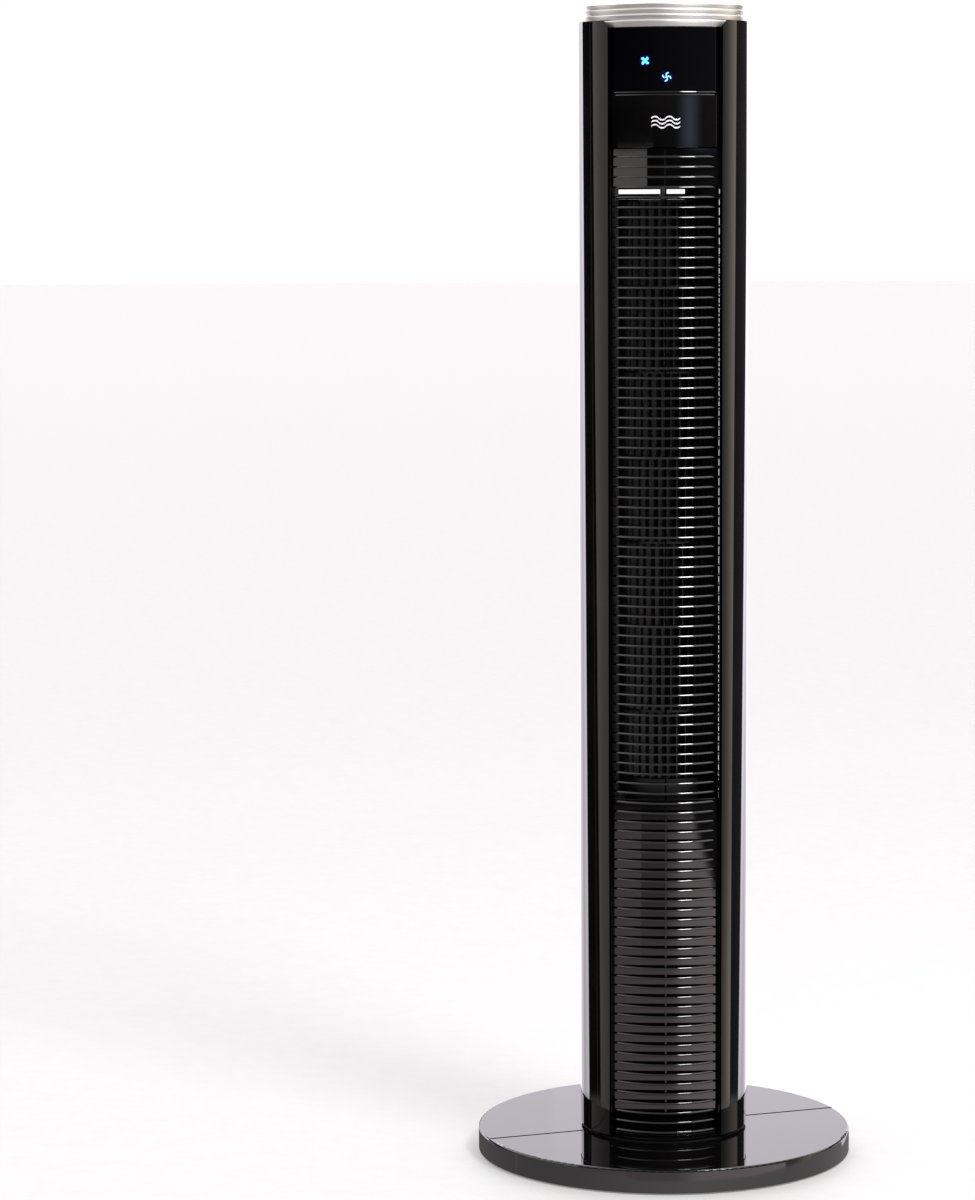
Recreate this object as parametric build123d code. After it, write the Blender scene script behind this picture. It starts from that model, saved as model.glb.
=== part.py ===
"""Tower fan, about 1.07 m tall, built as separate pieces in millimetres.

Frame: origin at the centre of the base on the floor, +Z up. At rest the column faces -Y and the
base stands turned by BASE_TURN under it, as a fan does that has stopped part way through its swing.
Angles named "phi" are measured about +Z from the column's front (-Y) towards +X.
"""
from build123d import *
import math
import os

# Driving dimensions
HEIGHT = 1070.0
BASE_R = 175.0
BASE_TOP = 23.0
BASE_TURN = 20.0
COLUMN_R = 78.3
WALL = 2.5
GRILLE_R = 72.9
OPENING_HALF = 49.8

# Heights of the column's zones
PLINTH_R = 77.7
PLINTH_Z = 26.0
COVER_Z0 = 54.0
COVER_Z1 = 1055.3
LOWER_PLATE_Z0 = 50.0
LOWER_PLATE_Z1 = 343.5
UPPER_PLATE_Z0 = 905.0
GRILLE_Z1 = 940.0
BADGE_Z1 = 988.6
WINDOW_Z0 = 989.9
WINDOW_Z1 = 1049.0

# Louvres
LOUVRE_PITCH = 9.1
LOUVRE_TOP = 932.5
LOUVRE_COUNT = 100
LOUVRE_THICK = 1.8
LOUVRE_DEPTH = 5.0
LOUVRE_R0 = GRILLE_R - LOUVRE_DEPTH
RIB_HALF = 0.7
RIB_R1 = 69.9

# Blank plates: flatter than the louvres, so they meet them near the rails
PLATE_CURVE = 110.0
PLATE_CENTRE_Y = 45.0
PLATE_THICK = 2.2
LIP_R = 67.9

# Covers and frame rails, as angles from the front
SEAM_PHI = 115.0
RAIL_PHI0 = 104.0
RAIL_PHI1 = 121.5
RAIL_R0 = 73.0
SHELL_R0 = COLUMN_R - WALL
FLANGE_X0 = 52.0
FLANGE_X1 = 54.0
FLANGE_Y = -45.0
INTAKE_PHI = 58.0
INTAKE_TOP_Z0 = 902.7
WIDE_BAR_Z0 = 893.0
WIDE_BAR_Z1 = 898.6

CASE_SCREW_PHI = 118.5
CASE_SCREW_Z = (90.0, 320.0, 560.0, 800.0, 925.0, 1035.0)

# Impeller
WHEEL_R = 45.0
WHEEL_RIM = 8.0
BLADES = 33
SEGMENTS = 7
SEGMENT_PITCH = 78.3
DISC_THICK = 2.0
WHEEL_Z1 = 893.7
WHEEL_Z0 = WHEEL_Z1 - SEGMENTS * SEGMENT_PITCH - DISC_THICK
HUB_R = 14.0
DAMPER_R = 11.0
SHAFT_R = 4.0
PIN_R = 3.0

# Decks that close the blower's two ends
DECK_THICK = 3.0
MOTOR_DECK_Z = 336.0
BEARING_DECK_Z = 904.5
TRAY_Z = 945.0

TRAY_POST_R = 3.5
TRAY_POST_RING = 48.0

# Blower duct between the two decks
SCROLL_R = 48.8
SCROLL_WALL = 1.6
SCROLL_FRONT_X = 46.4
SCROLL_FRONT_Y = -49.0
SCROLL_END = 64.0
DUCT_R = 65.6
DUCT_Z0 = MOTOR_DECK_Z + DECK_THICK
DUCT_Z1 = BEARING_DECK_Z
TONGUE_OUTLINE = [
    (-41.7, -24.0), (-46.2, -50.0), (-48.4, -50.0), (-48.4, -45.5), (-46.0, -30.0), (-48.2, -15.0),
    (-49.0, -8.0), (-71.0, -8.0), (-71.0, -6.0), (-47.6, -6.0), (-46.6, -13.0), (-41.7, -24.0),
]
COLLAR_R = 47.6
COLLAR_THICK = 1.4
COLLAR_Z1 = 360.0

# Fan motor and bearings
MOTOR_Z0 = 262.0
STATOR_Z0 = 284.0
STATOR_Z1 = 318.0
STATOR_R = 40.0
STATOR_HALF = 36.0
ROTOR_R = 21.5
AIR_GAP = 0.5
WINDING_R = 33.0
WINDING_R0 = 24.0
WINDING_RISE = 9.0
SHIELD_RISE = 13.0
SHIELD_R = 35.5
SHIELD_WALL = 2.0
BEARING_R = 8.0
BEARING_LENGTH = 8.5
MOUNT_RING = 30.0
MOUNT_R = 5.0
TOP_SEAT_R = 15.0
TOP_RUBBER_R = 11.0
TOP_BEARING_R = 7.0
TOP_BEARING_Z0 = BEARING_DECK_Z + 1.5
TOP_BEARING_Z1 = BEARING_DECK_Z + 11.0

# Base and swivel
BASE_PLATE = 2.5
RIM_Z0 = 1.5
LEDGE_Z0 = 13.5
LEDGE_Z1 = 16.0
LEDGE_R0 = 48.0
SEAT_R = 76.0
PEDESTAL_R = 75.7
PEDESTAL_Z1 = 22.5
POST_R = 22.0
POST_R0 = 16.0
POST_Z1 = 33.1
FLOOR_THICK = 3.5
RUNNING = 0.05
GAP = 0.1
FOOT_R = 8.0
FOOT_Z1 = 3.0
FOOT_RING = 155.0
BASE_SCREW_RING = 66.0
SWIVEL_FLOOR_R = 73.0
HUB_FLOOR_R = 30.0
THRUST_R = 62.0
THRUST_R0 = 52.0
RETAINER_PHI = (0, 120, 240)
RETAINER_R = 29.0
RETAINER_RING = 19.0

# Cord gland through the rear rim
GLAND_R = 5.5
GLAND_BORE = 3.6
GLAND_Z = 11.0
GLAND_PHI = 22.0

# Swing drive: a fixed ring gear on the post and a pinion that walks round it
MODULE = 1.0
GEAR_TEETH = 60
PINION_TEETH = 12
GEAR_Z0 = 35.1
GEAR_THICK = 6.0
PRESSURE = math.radians(25.0)
ADDENDUM = 0.8
DEDENDUM = 1.1
BACKLASH = 0.12
PINION_Y = MODULE * (GEAR_TEETH + PINION_TEETH) / 2 + 0.1

SWING_MOTOR_Z = 50.0
SWING_MOTOR_R = 24.5
SWING_MOTOR_H = 17.0
SWING_MOTOR_Y = PINION_Y + 5.0
SWING_SHAFT_R = 3.0
EAR_X = 29.0
BRACKET_HALF = 38.0
BRACKET_DEPTH = 10.0

# Cap and buttons
CAP_R = 73.9
RING_PITCH = 5.1
RING_GROOVE = 1.1
CAP_WALL = 2.7
CAP_LIP_R = 66.0
PANEL_Z0 = 1064.5
PANEL_Z1 = 1067.0
BUTTON_R = 7.0
BUTTON_RING = 40.0
BUTTON_STEP = 32.0
BUTTON_TOP = 1068.4
BUTTON_NAMES = ["timer", "mode", "power", "speed", "swing"]
SWITCH_BOARD_Z = 1050.0

STEM_R = 2.2
SWITCH_TOP = 1058.5
BUTTON_FLANGE_Z = 1063.2

# Display window, badge panel and the symbols set into them
WINDOW_R = 73.4
WINDOW_THICK = 2.0
BADGE_R = 74.0
BADGE_THICK = 2.4
INLAY_DEPTH = 0.6
ICON_LEFT = (-17.6, 1019.4)
ICON_RIGHT = (1.9, 1005.3)
ICON_LEFT_WIDTH = 8.8
ICON_RIGHT_WIDTH = 8.6
LAMP_HALF = 5.5
WAVE_Z = 964.0

# Boards and wiring
BOARD_THICK = 1.6
BOARD_Y = 46.0
BOARD_Z0 = 110.0
BOARD_Z1 = 230.0
BOARD_HALF = 40.0
BOARD_POST = 4.0
BOARD_FRONT_Y = -50.0
WIRE_X = -58.0
WIRE_Y = 28.0
WIRE_R = 3.0

# Carry handle recess in the rear cover
HANDLE_HALF = 42.0
HANDLE_Z0 = 972.0
HANDLE_Z1 = 1006.0
HANDLE_DEPTH = 26.0

# Fastener sizes
M4_R = 2.0
M3_R = 1.5


def face_angle(phi):
    """Turn an angle from the front into one from +X."""
    return phi - 90.0


def at_phi(radius, phi, z=0.0):
    angle = math.radians(face_angle(phi))
    return Pos(radius * math.cos(angle), radius * math.sin(angle), z)


def tube(r_out, r_in, z0, z1):
    return Pos(0, 0, z0) * extrude(Circle(r_out) - Circle(r_in), z1 - z0)


def disc(radius, z0, z1):
    return Pos(0, 0, z0) * extrude(Circle(radius), z1 - z0)


def sector(r_out, r_in, phi0, phi1, z0, z1):
    """Curved wall between two radii, two angles from the front and two heights."""
    span = phi1 - phi0
    outer = CenterArc((0, 0), r_out, face_angle(phi0), span)
    inner = CenterArc((0, 0), r_in, face_angle(phi0), span)
    first = Line(inner @ 0, outer @ 0)
    last = Line(outer @ 1, inner @ 1)
    outline = make_face([first, outer, last, inner])
    return Pos(0, 0, z0) * extrude(outline, z1 - z0)


def block(x0, x1, y0, y1, z0, z1):
    middle = Pos((x0 + x1) / 2, (y0 + y1) / 2, (z0 + z1) / 2)
    return middle * Box(x1 - x0, y1 - y0, z1 - z0)


def front_slab(z0, z1, half=OPENING_HALF):
    """The space in front of the column's axis between the two side rails."""
    return block(-half, half, -COLUMN_R - 5, 0, z0, z1)


def front_wall(r_out, r_in, z0, z1):
    """Curved wall across the front opening, cut off square at the rails."""
    return sector(r_out, r_in, -60, 60, z0, z1) & front_slab(z0, z1)


def plate_room(inset, z0, z1):
    """Everything behind a blank plate's front face, taken back by an inset."""
    return Pos(0, PLATE_CENTRE_Y) * disc(PLATE_CURVE - inset, z0, z1)


def spin_copies(shape, angles):
    return [Rot(0, 0, angle) * shape for angle in angles]


def group(shapes):
    """Several separate solids that share one name."""
    return Compound(children=list(shapes))


def screw(radius, length, head_r, head_h):
    """Screw with its head's underside at the origin and its shank along +Z."""
    shank = Cylinder(radius, length, align=(Align.CENTER, Align.CENTER, Align.MIN))
    head = Cylinder(head_r, head_h, align=(Align.CENTER, Align.CENTER, Align.MAX))
    slot = Pos(0, 0, -head_h) * Box(head_r * 1.3, head_r * 0.3, head_h)
    return shank + head - slot


def radial_screw(radius, length, head_r, head_h, at_r, phi, z):
    """Screw that points at the column's axis, its head seated at radius at_r."""
    turned = Rot(0, -90, 0) * screw(radius, length, head_r, head_h)
    return Rot(0, 0, face_angle(phi)) * Pos(at_r, 0, z) * turned


# ---------------------------------------------------------------- base

def base_half(front):
    """One moulded half of the round base, before it is turned to its resting direction."""
    rim = 3.0
    edge = 2.0
    with BuildPart() as shell:
        with BuildSketch(Plane.XZ):
            with BuildLine():
                Polyline(
                    (LEDGE_R0, LEDGE_Z0), (SEAT_R + WALL, LEDGE_Z0),
                    (SEAT_R + WALL, BASE_TOP - BASE_PLATE), (BASE_R - rim, BASE_TOP - BASE_PLATE),
                    (BASE_R - rim, RIM_Z0), (BASE_R, RIM_Z0), (BASE_R, BASE_TOP - edge),
                )
                TangentArc((BASE_R, BASE_TOP - edge), (BASE_R - edge, BASE_TOP), tangent=(0, 1))
                Polyline(
                    (BASE_R - edge, BASE_TOP), (SEAT_R, BASE_TOP),
                    (SEAT_R, LEDGE_Z1), (LEDGE_R0, LEDGE_Z1), (LEDGE_R0, LEDGE_Z0),
                )
            make_face()
        revolve(axis=Axis.Z, revolution_arc=180)
    half = shell.part
    if half.center().Y > 0:
        half = Rot(0, 0, 180) * half
    rib_top = BASE_TOP - BASE_PLATE
    inside = BASE_R - rim
    additions = []
    for phi in (-62, -31, 0, 31, 62):
        rib = block(-1, 1, -inside - 1, -SEAT_R - 1, 9, rib_top)
        additions.append(Rot(0, 0, phi) * rib)
    for phi in (-75, -18, 18, 75) if front else (-75, 0.01, 75):
        additions.append(at_phi(FOOT_RING, phi) * disc(FOOT_R + 2.5, FOOT_Z1, rib_top))
    for side in (-1, 1):
        near = side * (SEAT_R + 1)
        far = side * inside
        additions.append(block(min(near, far), max(near, far), -2.5, 0, 5, rib_top))
    half = half.fuse(*additions)
    slit = 0.1
    half = half - block(-BASE_R - 1, BASE_R + 1, -slit, slit, 0, BASE_TOP + 1)
    for phi in (-60, 0, 60):
        half = half - at_phi(BASE_SCREW_RING, phi) * disc(M4_R, LEDGE_Z0 - 1, LEDGE_Z1 + 1)
    return half


def gland_space():
    """Grommet body with its inner flange, its axis along -Y through the rim."""
    body = Cylinder(GLAND_R, 6.8, align=(Align.CENTER, Align.CENTER, Align.MIN))
    flange = Cylinder(GLAND_R + 2, 2.5, align=(Align.CENTER, Align.CENTER, Align.MIN))
    both = Rot(90, 0, 0) * (body + flange)
    return Rot(0, 0, GLAND_PHI) * Pos(0, -(BASE_R - 7.0), GLAND_Z) * both


def base_front_half():
    return Rot(0, 0, BASE_TURN) * base_half(front=True)


def base_rear_half():
    half = base_half(front=False) - gland_space()
    return Rot(0, 0, BASE_TURN + 180) * half


def cord_gland():
    hole = Rot(90, 0, 0) * Cylinder(GLAND_BORE, 40)
    hole = Rot(0, 0, GLAND_PHI) * Pos(0, -BASE_R, GLAND_Z) * hole
    return Rot(0, 0, BASE_TURN + 180) * (gland_space() - hole)


def base_feet():
    angles = [-75, -18, 18, 75]
    rear = [105, 180, 255]
    return group(at_phi(FOOT_RING, phi + BASE_TURN) * disc(FOOT_R, 0, FOOT_Z1) for phi in angles + rear)


def pedestal():
    plate = disc(PEDESTAL_R, LEDGE_Z1, PEDESTAL_Z1)
    post = disc(POST_R, LEDGE_Z1, POST_Z1)
    body = plate + post - disc(POST_R0, LEDGE_Z1 - 1, POST_Z1 + 1)
    for phi in range(0, 360, 60):
        body = body - at_phi(BASE_SCREW_RING, phi) * disc(M4_R, LEDGE_Z1 - 1, 21.0)
    for phi in RETAINER_PHI:
        body = body - at_phi(RETAINER_RING, phi) * disc(M3_R, POST_Z1 - 8, POST_Z1 + 1)
    return Rot(0, 0, BASE_TURN) * body


def base_screws():
    one = Pos(0, -BASE_SCREW_RING, LEDGE_Z0) * screw(M4_R, 7.5, 3.6, 2.4)
    return group(spin_copies(one, [BASE_TURN + 60 * i for i in range(6)]))


def thrust_ring():
    return tube(THRUST_R, THRUST_R0, PEDESTAL_Z1, PLINTH_Z - GAP)


def retaining_ring():
    ring = tube(RETAINER_R, POST_R0, POST_Z1, GEAR_Z0)
    for phi in RETAINER_PHI:
        ring = ring - at_phi(RETAINER_RING, phi) * disc(M3_R, POST_Z1 - 1, GEAR_Z0 + 1)
    return Rot(0, 0, BASE_TURN) * ring


def involute_flank(pitch_r, teeth):
    """Right flank of one tooth centred on +X, from its root to its tip."""
    base_r = pitch_r * math.cos(PRESSURE)
    root_r = pitch_r - DEDENDUM * MODULE
    tip_r = pitch_r + ADDENDUM * MODULE
    half_pitch_angle = math.pi / (2 * teeth) - BACKLASH / (2 * pitch_r)
    roll = math.tan(PRESSURE) - PRESSURE
    start_r = max(base_r, root_r)
    points = []
    if root_r < base_r:
        points.append((root_r, half_pitch_angle + roll))
    steps = 5
    for i in range(steps + 1):
        radius = start_r + (tip_r - start_r) * i / steps
        cosine = min(1.0, base_r / radius)
        alpha = math.acos(cosine)
        points.append((radius, half_pitch_angle + roll - (math.tan(alpha) - alpha)))
    return points


def spur_gear(teeth, z0, thick, bore):
    """External spur gear with a tooth centred on +X."""
    pitch_r = MODULE * teeth / 2
    flank = involute_flank(pitch_r, teeth)
    outline = []
    for i in range(teeth):
        centre = 2 * math.pi * i / teeth
        for radius, angle in flank:
            outline.append((radius * math.cos(centre - angle), radius * math.sin(centre - angle)))
        for radius, angle in reversed(flank):
            outline.append((radius * math.cos(centre + angle), radius * math.sin(centre + angle)))
    profile = make_face(Polyline(*outline, close=True))
    gear = extrude(profile, thick)
    if bore:
        gear = gear - Cylinder(bore, thick * 4)
    return Pos(0, 0, z0) * gear


def swing_gear():
    """Fixed gear on the post: a tooth gap faces the pinion at rest."""
    half_tooth = 180.0 / GEAR_TEETH
    gear = spur_gear(GEAR_TEETH, GEAR_Z0, GEAR_THICK, POST_R0)
    gear = Rot(0, 0, 90 + half_tooth) * gear
    for phi in RETAINER_PHI:
        turned = phi + BASE_TURN
        gear = gear - at_phi(RETAINER_RING, turned) * disc(M3_R, GEAR_Z0 - 1, GEAR_Z0 + GEAR_THICK + 1)
    return gear


def retainer_screws():
    top = GEAR_Z0 + GEAR_THICK
    one = Pos(0, -RETAINER_RING, top) * Rot(180, 0, 0) * screw(M3_R, 13.0, 2.8, 2.0)
    turned = [angle + BASE_TURN for angle in RETAINER_PHI]
    return group(spin_copies(one, turned))


# ---------------------------------------------------------------- column: structure

def turntable():
    """Rotating floor of the column: hub on the post, plinth wall and the lip behind the grille."""
    top = PLINTH_Z + FLOOR_THICK
    open_phi = 41
    floor = disc(SWIVEL_FLOOR_R, PLINTH_Z, top)
    wall = sector(PLINTH_R, PLINTH_R - 3, open_phi, 360 - open_phi, PLINTH_Z, COVER_Z0)
    skirt = sector(PLINTH_R, SWIVEL_FLOOR_R - 1, open_phi, 360 - open_phi, PLINTH_Z, top)
    hub = disc(HUB_FLOOR_R, PLINTH_Z, POST_Z1 - GAP)
    lip = front_wall(LIP_R, LIP_R - 3.4, top - 1, LOWER_PLATE_Z0)
    post = block(BOARD_HALF, BOARD_HALF + BOARD_POST, BOARD_Y - 3, BOARD_Y + 5, top - 1, BOARD_Z1 + 2)
    body = floor.fuse(wall, skirt, hub, lip, post, mirror(post, Plane.YZ))
    body = body - disc(POST_R + RUNNING, PLINTH_Z - 1, POST_Z1 + 1)
    cheek = block(OPENING_HALF, FLANGE_X0, -80, FLANGE_Y, PLINTH_Z - 1, COVER_Z0 + 1)
    return body - cheek - mirror(cheek, Plane.YZ)


def frame_rails():
    """Two long pressed rails, each behind the seam of a side cover and the rear cover."""
    rail = sector(SHELL_R0, RAIL_R0, RAIL_PHI0, RAIL_PHI1, COVER_Z0, WINDOW_Z1 - 1)
    foot = sector(PLINTH_R - 3, RAIL_R0, RAIL_PHI0, RAIL_PHI1, PLINTH_Z + FLOOR_THICK, COVER_Z0)
    rail = rail + foot
    for z in CASE_SCREW_Z:
        hole = Rot(0, 0, face_angle(CASE_SCREW_PHI)) * Pos(RAIL_R0, 0, z) * Rot(0, 90, 0) * Cylinder(M3_R, 20)
        rail = rail - hole
    return group([rail, mirror(rail, Plane.YZ)])


def front_grille():
    """Outlet grille: two rails, every louvre and the thin middle rib, moulded in one piece."""
    parts = []
    for side in (-1, 1):
        x0 = min(side * OPENING_HALF, side * FLANGE_X0)
        x1 = max(side * OPENING_HALF, side * FLANGE_X0)
        parts.append(block(x0, x1, -80, FLANGE_Y, PLINTH_Z, WINDOW_Z1))
    envelope = disc(COLUMN_R - 2.3, PLINTH_Z - 1, WINDOW_Z1 + 1)
    rails = [piece & envelope for piece in parts]
    rib = block(-RIB_HALF, RIB_HALF, -RIB_R1, -LIP_R - GAP, PLINTH_Z + FLOOR_THICK + 1, GRILLE_Z1)
    deep_rib = block(-RIB_HALF, RIB_HALF, -RIB_R1, -LIP_R + 3, LOWER_PLATE_Z1, UPPER_PLATE_Z0)
    louvres = []
    for i in range(LOUVRE_COUNT):
        z = LOUVRE_TOP - i * LOUVRE_PITCH
        bar = front_wall(GRILLE_R, LOUVRE_R0, z - LOUVRE_THICK / 2, z + LOUVRE_THICK / 2)
        for z0, z1 in ((LOWER_PLATE_Z0, LOWER_PLATE_Z1), (UPPER_PLATE_Z0, GRILLE_Z1)):
            if z0 - LOUVRE_THICK < z < z1 + LOUVRE_THICK:
                bar = bar - (plate_room(0, z0 - 5, z1 + 5) & front_slab(z0 - 5, z1 + 5))
        louvres.append(bar)
    return rails[0].fuse(rails[1], rib, deep_rib, *louvres)


def blank_plate(z0, z1):
    """Slightly curved cover over the closed part of the grille."""
    return (plate_room(0, z0, z1) - plate_room(PLATE_THICK, z0 - 1, z1 + 1)) & front_slab(z0, z1)


def side_cover(side):
    """Glossy pillar cover with a return flange beside the grille."""
    front_phi = math.degrees(math.asin(FLANGE_X0 / COLUMN_R))
    shell = sector(COLUMN_R, SHELL_R0, front_phi, SEAM_PHI - 0.15, COVER_Z0, COVER_Z1)
    flange = block(FLANGE_X0, FLANGE_X1, -80, FLANGE_Y, COVER_Z0, COVER_Z1)
    flange = flange & disc(COLUMN_R, COVER_Z0 - 1, COVER_Z1 + 1)
    cut = block(0, FLANGE_X0, -90, -20, COVER_Z0 - 1, COVER_Z1 + 1)
    cap_room = disc(CAP_R + 0.2, WINDOW_Z1, COVER_Z1 + 1)
    cover = shell + flange - cut - cap_room
    corner = Pos(FLANGE_X0, -65, COVER_Z1) * Rot(0, 45, 0) * Box(5.6, 60, 5.6)
    cover = cover - corner
    return cover if side > 0 else mirror(cover, Plane.YZ)


def rear_cover():
    """Rear shell with the intake window, the handle mouth and its screw holes."""
    edge = SEAM_PHI + 0.15
    shell = sector(COLUMN_R, SHELL_R0, edge, 360 - edge, COVER_Z0, COVER_Z1)
    window = sector(COLUMN_R + 5, SHELL_R0 - 5, 180 - INTAKE_PHI, 180 + INTAKE_PHI,
                    LOWER_PLATE_Z1, UPPER_PLATE_Z0)
    mouth = block(-HANDLE_HALF, HANDLE_HALF, 40, 100, HANDLE_Z0, HANDLE_Z1)
    shell = shell - window - mouth
    for phi in (CASE_SCREW_PHI, 360 - CASE_SCREW_PHI):
        for z in CASE_SCREW_Z:
            drill = Pos(COLUMN_R, 0, z) * Rot(0, 90, 0) * Cylinder(M3_R, 20)
            seat = Pos(COLUMN_R, 0, z) * Rot(0, 90, 0) * Cylinder(3.2, 2.0)
            shell = shell - Rot(0, 0, face_angle(phi)) * (drill + seat)
    return shell


def case_screws():
    screws = []
    for phi in (CASE_SCREW_PHI, 360 - CASE_SCREW_PHI):
        for z in CASE_SCREW_Z:
            screws.append(radial_screw(M3_R, 6.0, 2.9, 0.9, COLUMN_R - 1.0, phi, z))
    return group(screws)


def intake_grille():
    """Rear inlet grille: a frame, bars level with the louvres, a wide bar near the top and a rib."""
    outer = SHELL_R0 + 2.0
    inner = SHELL_R0 - 2.0
    edge = INTAKE_PHI - 0.1
    z0 = LOWER_PLATE_Z1 + 0.1
    z1 = UPPER_PLATE_Z0 - 0.1
    start = 180 - edge
    end = 180 + edge
    border = 3.0
    parts = [
        sector(outer, inner, start, start + border, z0, z1),
        sector(outer, inner, end - border, end, z0, z1),
        sector(outer, inner, start, end, z0, z0 + 4),
        sector(outer, inner, start, end, INTAKE_TOP_Z0, z1),
        sector(outer, inner, start, end, WIDE_BAR_Z0, WIDE_BAR_Z1),
        sector(outer, inner, 179.2, 180.8, z0, z1),
    ]
    for i in range(LOUVRE_COUNT):
        z = LOUVRE_TOP - i * LOUVRE_PITCH
        if z0 + 5 < z < WIDE_BAR_Z0:
            half = LOUVRE_THICK / 2
            parts.append(sector(outer - 0.3, inner + 0.3, start + 1, end - 1, z - half, z + half))
    return parts[0].fuse(*parts[1:])


def handle_cup():
    """Pocket behind the rear cover's mouth that the fingers hook into."""
    wall = 2.0
    back = math.sqrt(SHELL_R0 ** 2 - HANDLE_HALF ** 2)
    front = back - HANDLE_DEPTH
    outside = block(-HANDLE_HALF - wall, HANDLE_HALF + wall, front - wall, 100,
                    HANDLE_Z0 - wall, HANDLE_Z1 + wall)
    outside = outside & disc(SHELL_R0, HANDLE_Z0 - 10, HANDLE_Z1 + 10)
    inside = block(-HANDLE_HALF, HANDLE_HALF, front, 101, HANDLE_Z0, HANDLE_Z1)
    return outside - inside


# ---------------------------------------------------------------- column: blower duct

def scroll_wall():
    """Wall that wraps the wheel from the rear round the right side to the outlet."""
    outer_r = SCROLL_R + SCROLL_WALL
    inner_arc = CenterArc((0, 0), SCROLL_R, 0, SCROLL_END)
    outer_arc = CenterArc((0, 0), outer_r, 0, SCROLL_END)
    inner_line = Line((SCROLL_R, 0), (SCROLL_FRONT_X, SCROLL_FRONT_Y))
    outer_line = Line((outer_r, 0), (SCROLL_FRONT_X + SCROLL_WALL, SCROLL_FRONT_Y))
    tip = Line(inner_line @ 1, outer_line @ 1)
    end = Line(inner_arc @ 1, outer_arc @ 1)
    outline = make_face([inner_arc, end, outer_arc, outer_line, tip, inner_line])
    wall = Pos(0, 0, DUCT_Z0) * extrude(outline, DUCT_Z1 - DUCT_Z0)
    return wall & disc(DUCT_R, DUCT_Z0, DUCT_Z1)


def tongue_wall():
    """Vortex tongue beside the wheel, with its web out to the left side cover."""
    outline = make_face(Polyline(*TONGUE_OUTLINE))
    wall = Pos(0, 0, DUCT_Z0) * extrude(outline, DUCT_Z1 - DUCT_Z0)
    front = wall & disc(DUCT_R, DUCT_Z0, DUCT_Z1)
    return front + (wall & block(-80, 0, -20, 0, DUCT_Z0, DUCT_Z1))


def deck(z0, holes):
    """Round partition that touches the frame rails and stops behind the front plates."""
    front = block(-80, 80, -80, FLANGE_Y + 2.5, z0 - 1, z0 + DECK_THICK + 1)
    rear = disc(RAIL_R0, z0, z0 + DECK_THICK) - front
    nose = disc(DUCT_R, z0, z0 + DECK_THICK) & plate_room(PLATE_THICK, z0, z0 + DECK_THICK)
    body = rear + nose
    for radius, x, y in holes:
        body = body - Pos(x, y, z0 + DECK_THICK / 2) * Cylinder(radius, DECK_THICK + 2)
    return body


def mount_points():
    return [(MOUNT_RING * math.cos(a), MOUNT_RING * math.sin(a))
            for a in (math.radians(45 + 90 * i) for i in range(4))]


def motor_deck():
    """Partition that carries the motor, with a collar round the wheel's lower end."""
    holes = [(BEARING_R + 2, 0, 0), (WIRE_R + 1, WIRE_X, WIRE_Y)]
    holes += [(M3_R, x, y) for x, y in mount_points()]
    body = deck(MOTOR_DECK_Z, holes)
    collar = sector(COLLAR_R, COLLAR_R - COLLAR_THICK, -50, 40, DUCT_Z0, COLLAR_Z1)
    return body + collar


def bearing_deck():
    """Partition above the wheel with the seat of its upper bearing."""
    seat = disc(TOP_SEAT_R, BEARING_DECK_Z, TOP_BEARING_Z1 + 1)
    body = deck(BEARING_DECK_Z, [(WIRE_R + 1, WIRE_X, WIRE_Y)]) + seat
    pocket = disc(TOP_RUBBER_R, TOP_BEARING_Z0, TOP_BEARING_Z1 + 2)
    return body - pocket - disc(PIN_R + 2, BEARING_DECK_Z - 1, TOP_BEARING_Z1)


def electronics_tray():
    """Shelf above the bearing deck, with pillars up to the switch board."""
    body = deck(TRAY_Z, [(WIRE_R + 1, WIRE_X, WIRE_Y)])
    posts = [at_phi(TRAY_POST_RING, phi) * disc(TRAY_POST_R, TRAY_Z + 1, SWITCH_BOARD_Z) for phi in (90, 270)]
    return body.fuse(*posts)


# ---------------------------------------------------------------- impeller and motor

def polar(radius, degrees):
    angle = math.radians(degrees)
    return (radius * math.cos(angle), radius * math.sin(angle))


def blade():
    """Outline of one forward-curved blade, seen along the wheel's axis."""
    outer_r = WHEEL_R - 0.3
    inner_r = WHEEL_R - WHEEL_RIM
    middle_r = (outer_r + inner_r) / 2
    lead = 1.4
    with BuildSketch() as face:
        with BuildLine():
            ThreePointArc(polar(outer_r, 0), polar(middle_r, 6.2), polar(inner_r, 8.6))
            Line(polar(inner_r, 8.6), polar(inner_r, 8.6 + lead))
            ThreePointArc(polar(inner_r, 8.6 + lead), polar(middle_r, 6.2 + lead), polar(outer_r, lead))
            Line(polar(outer_r, lead), polar(outer_r, 0))
        make_face()
    return face.sketch


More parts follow.
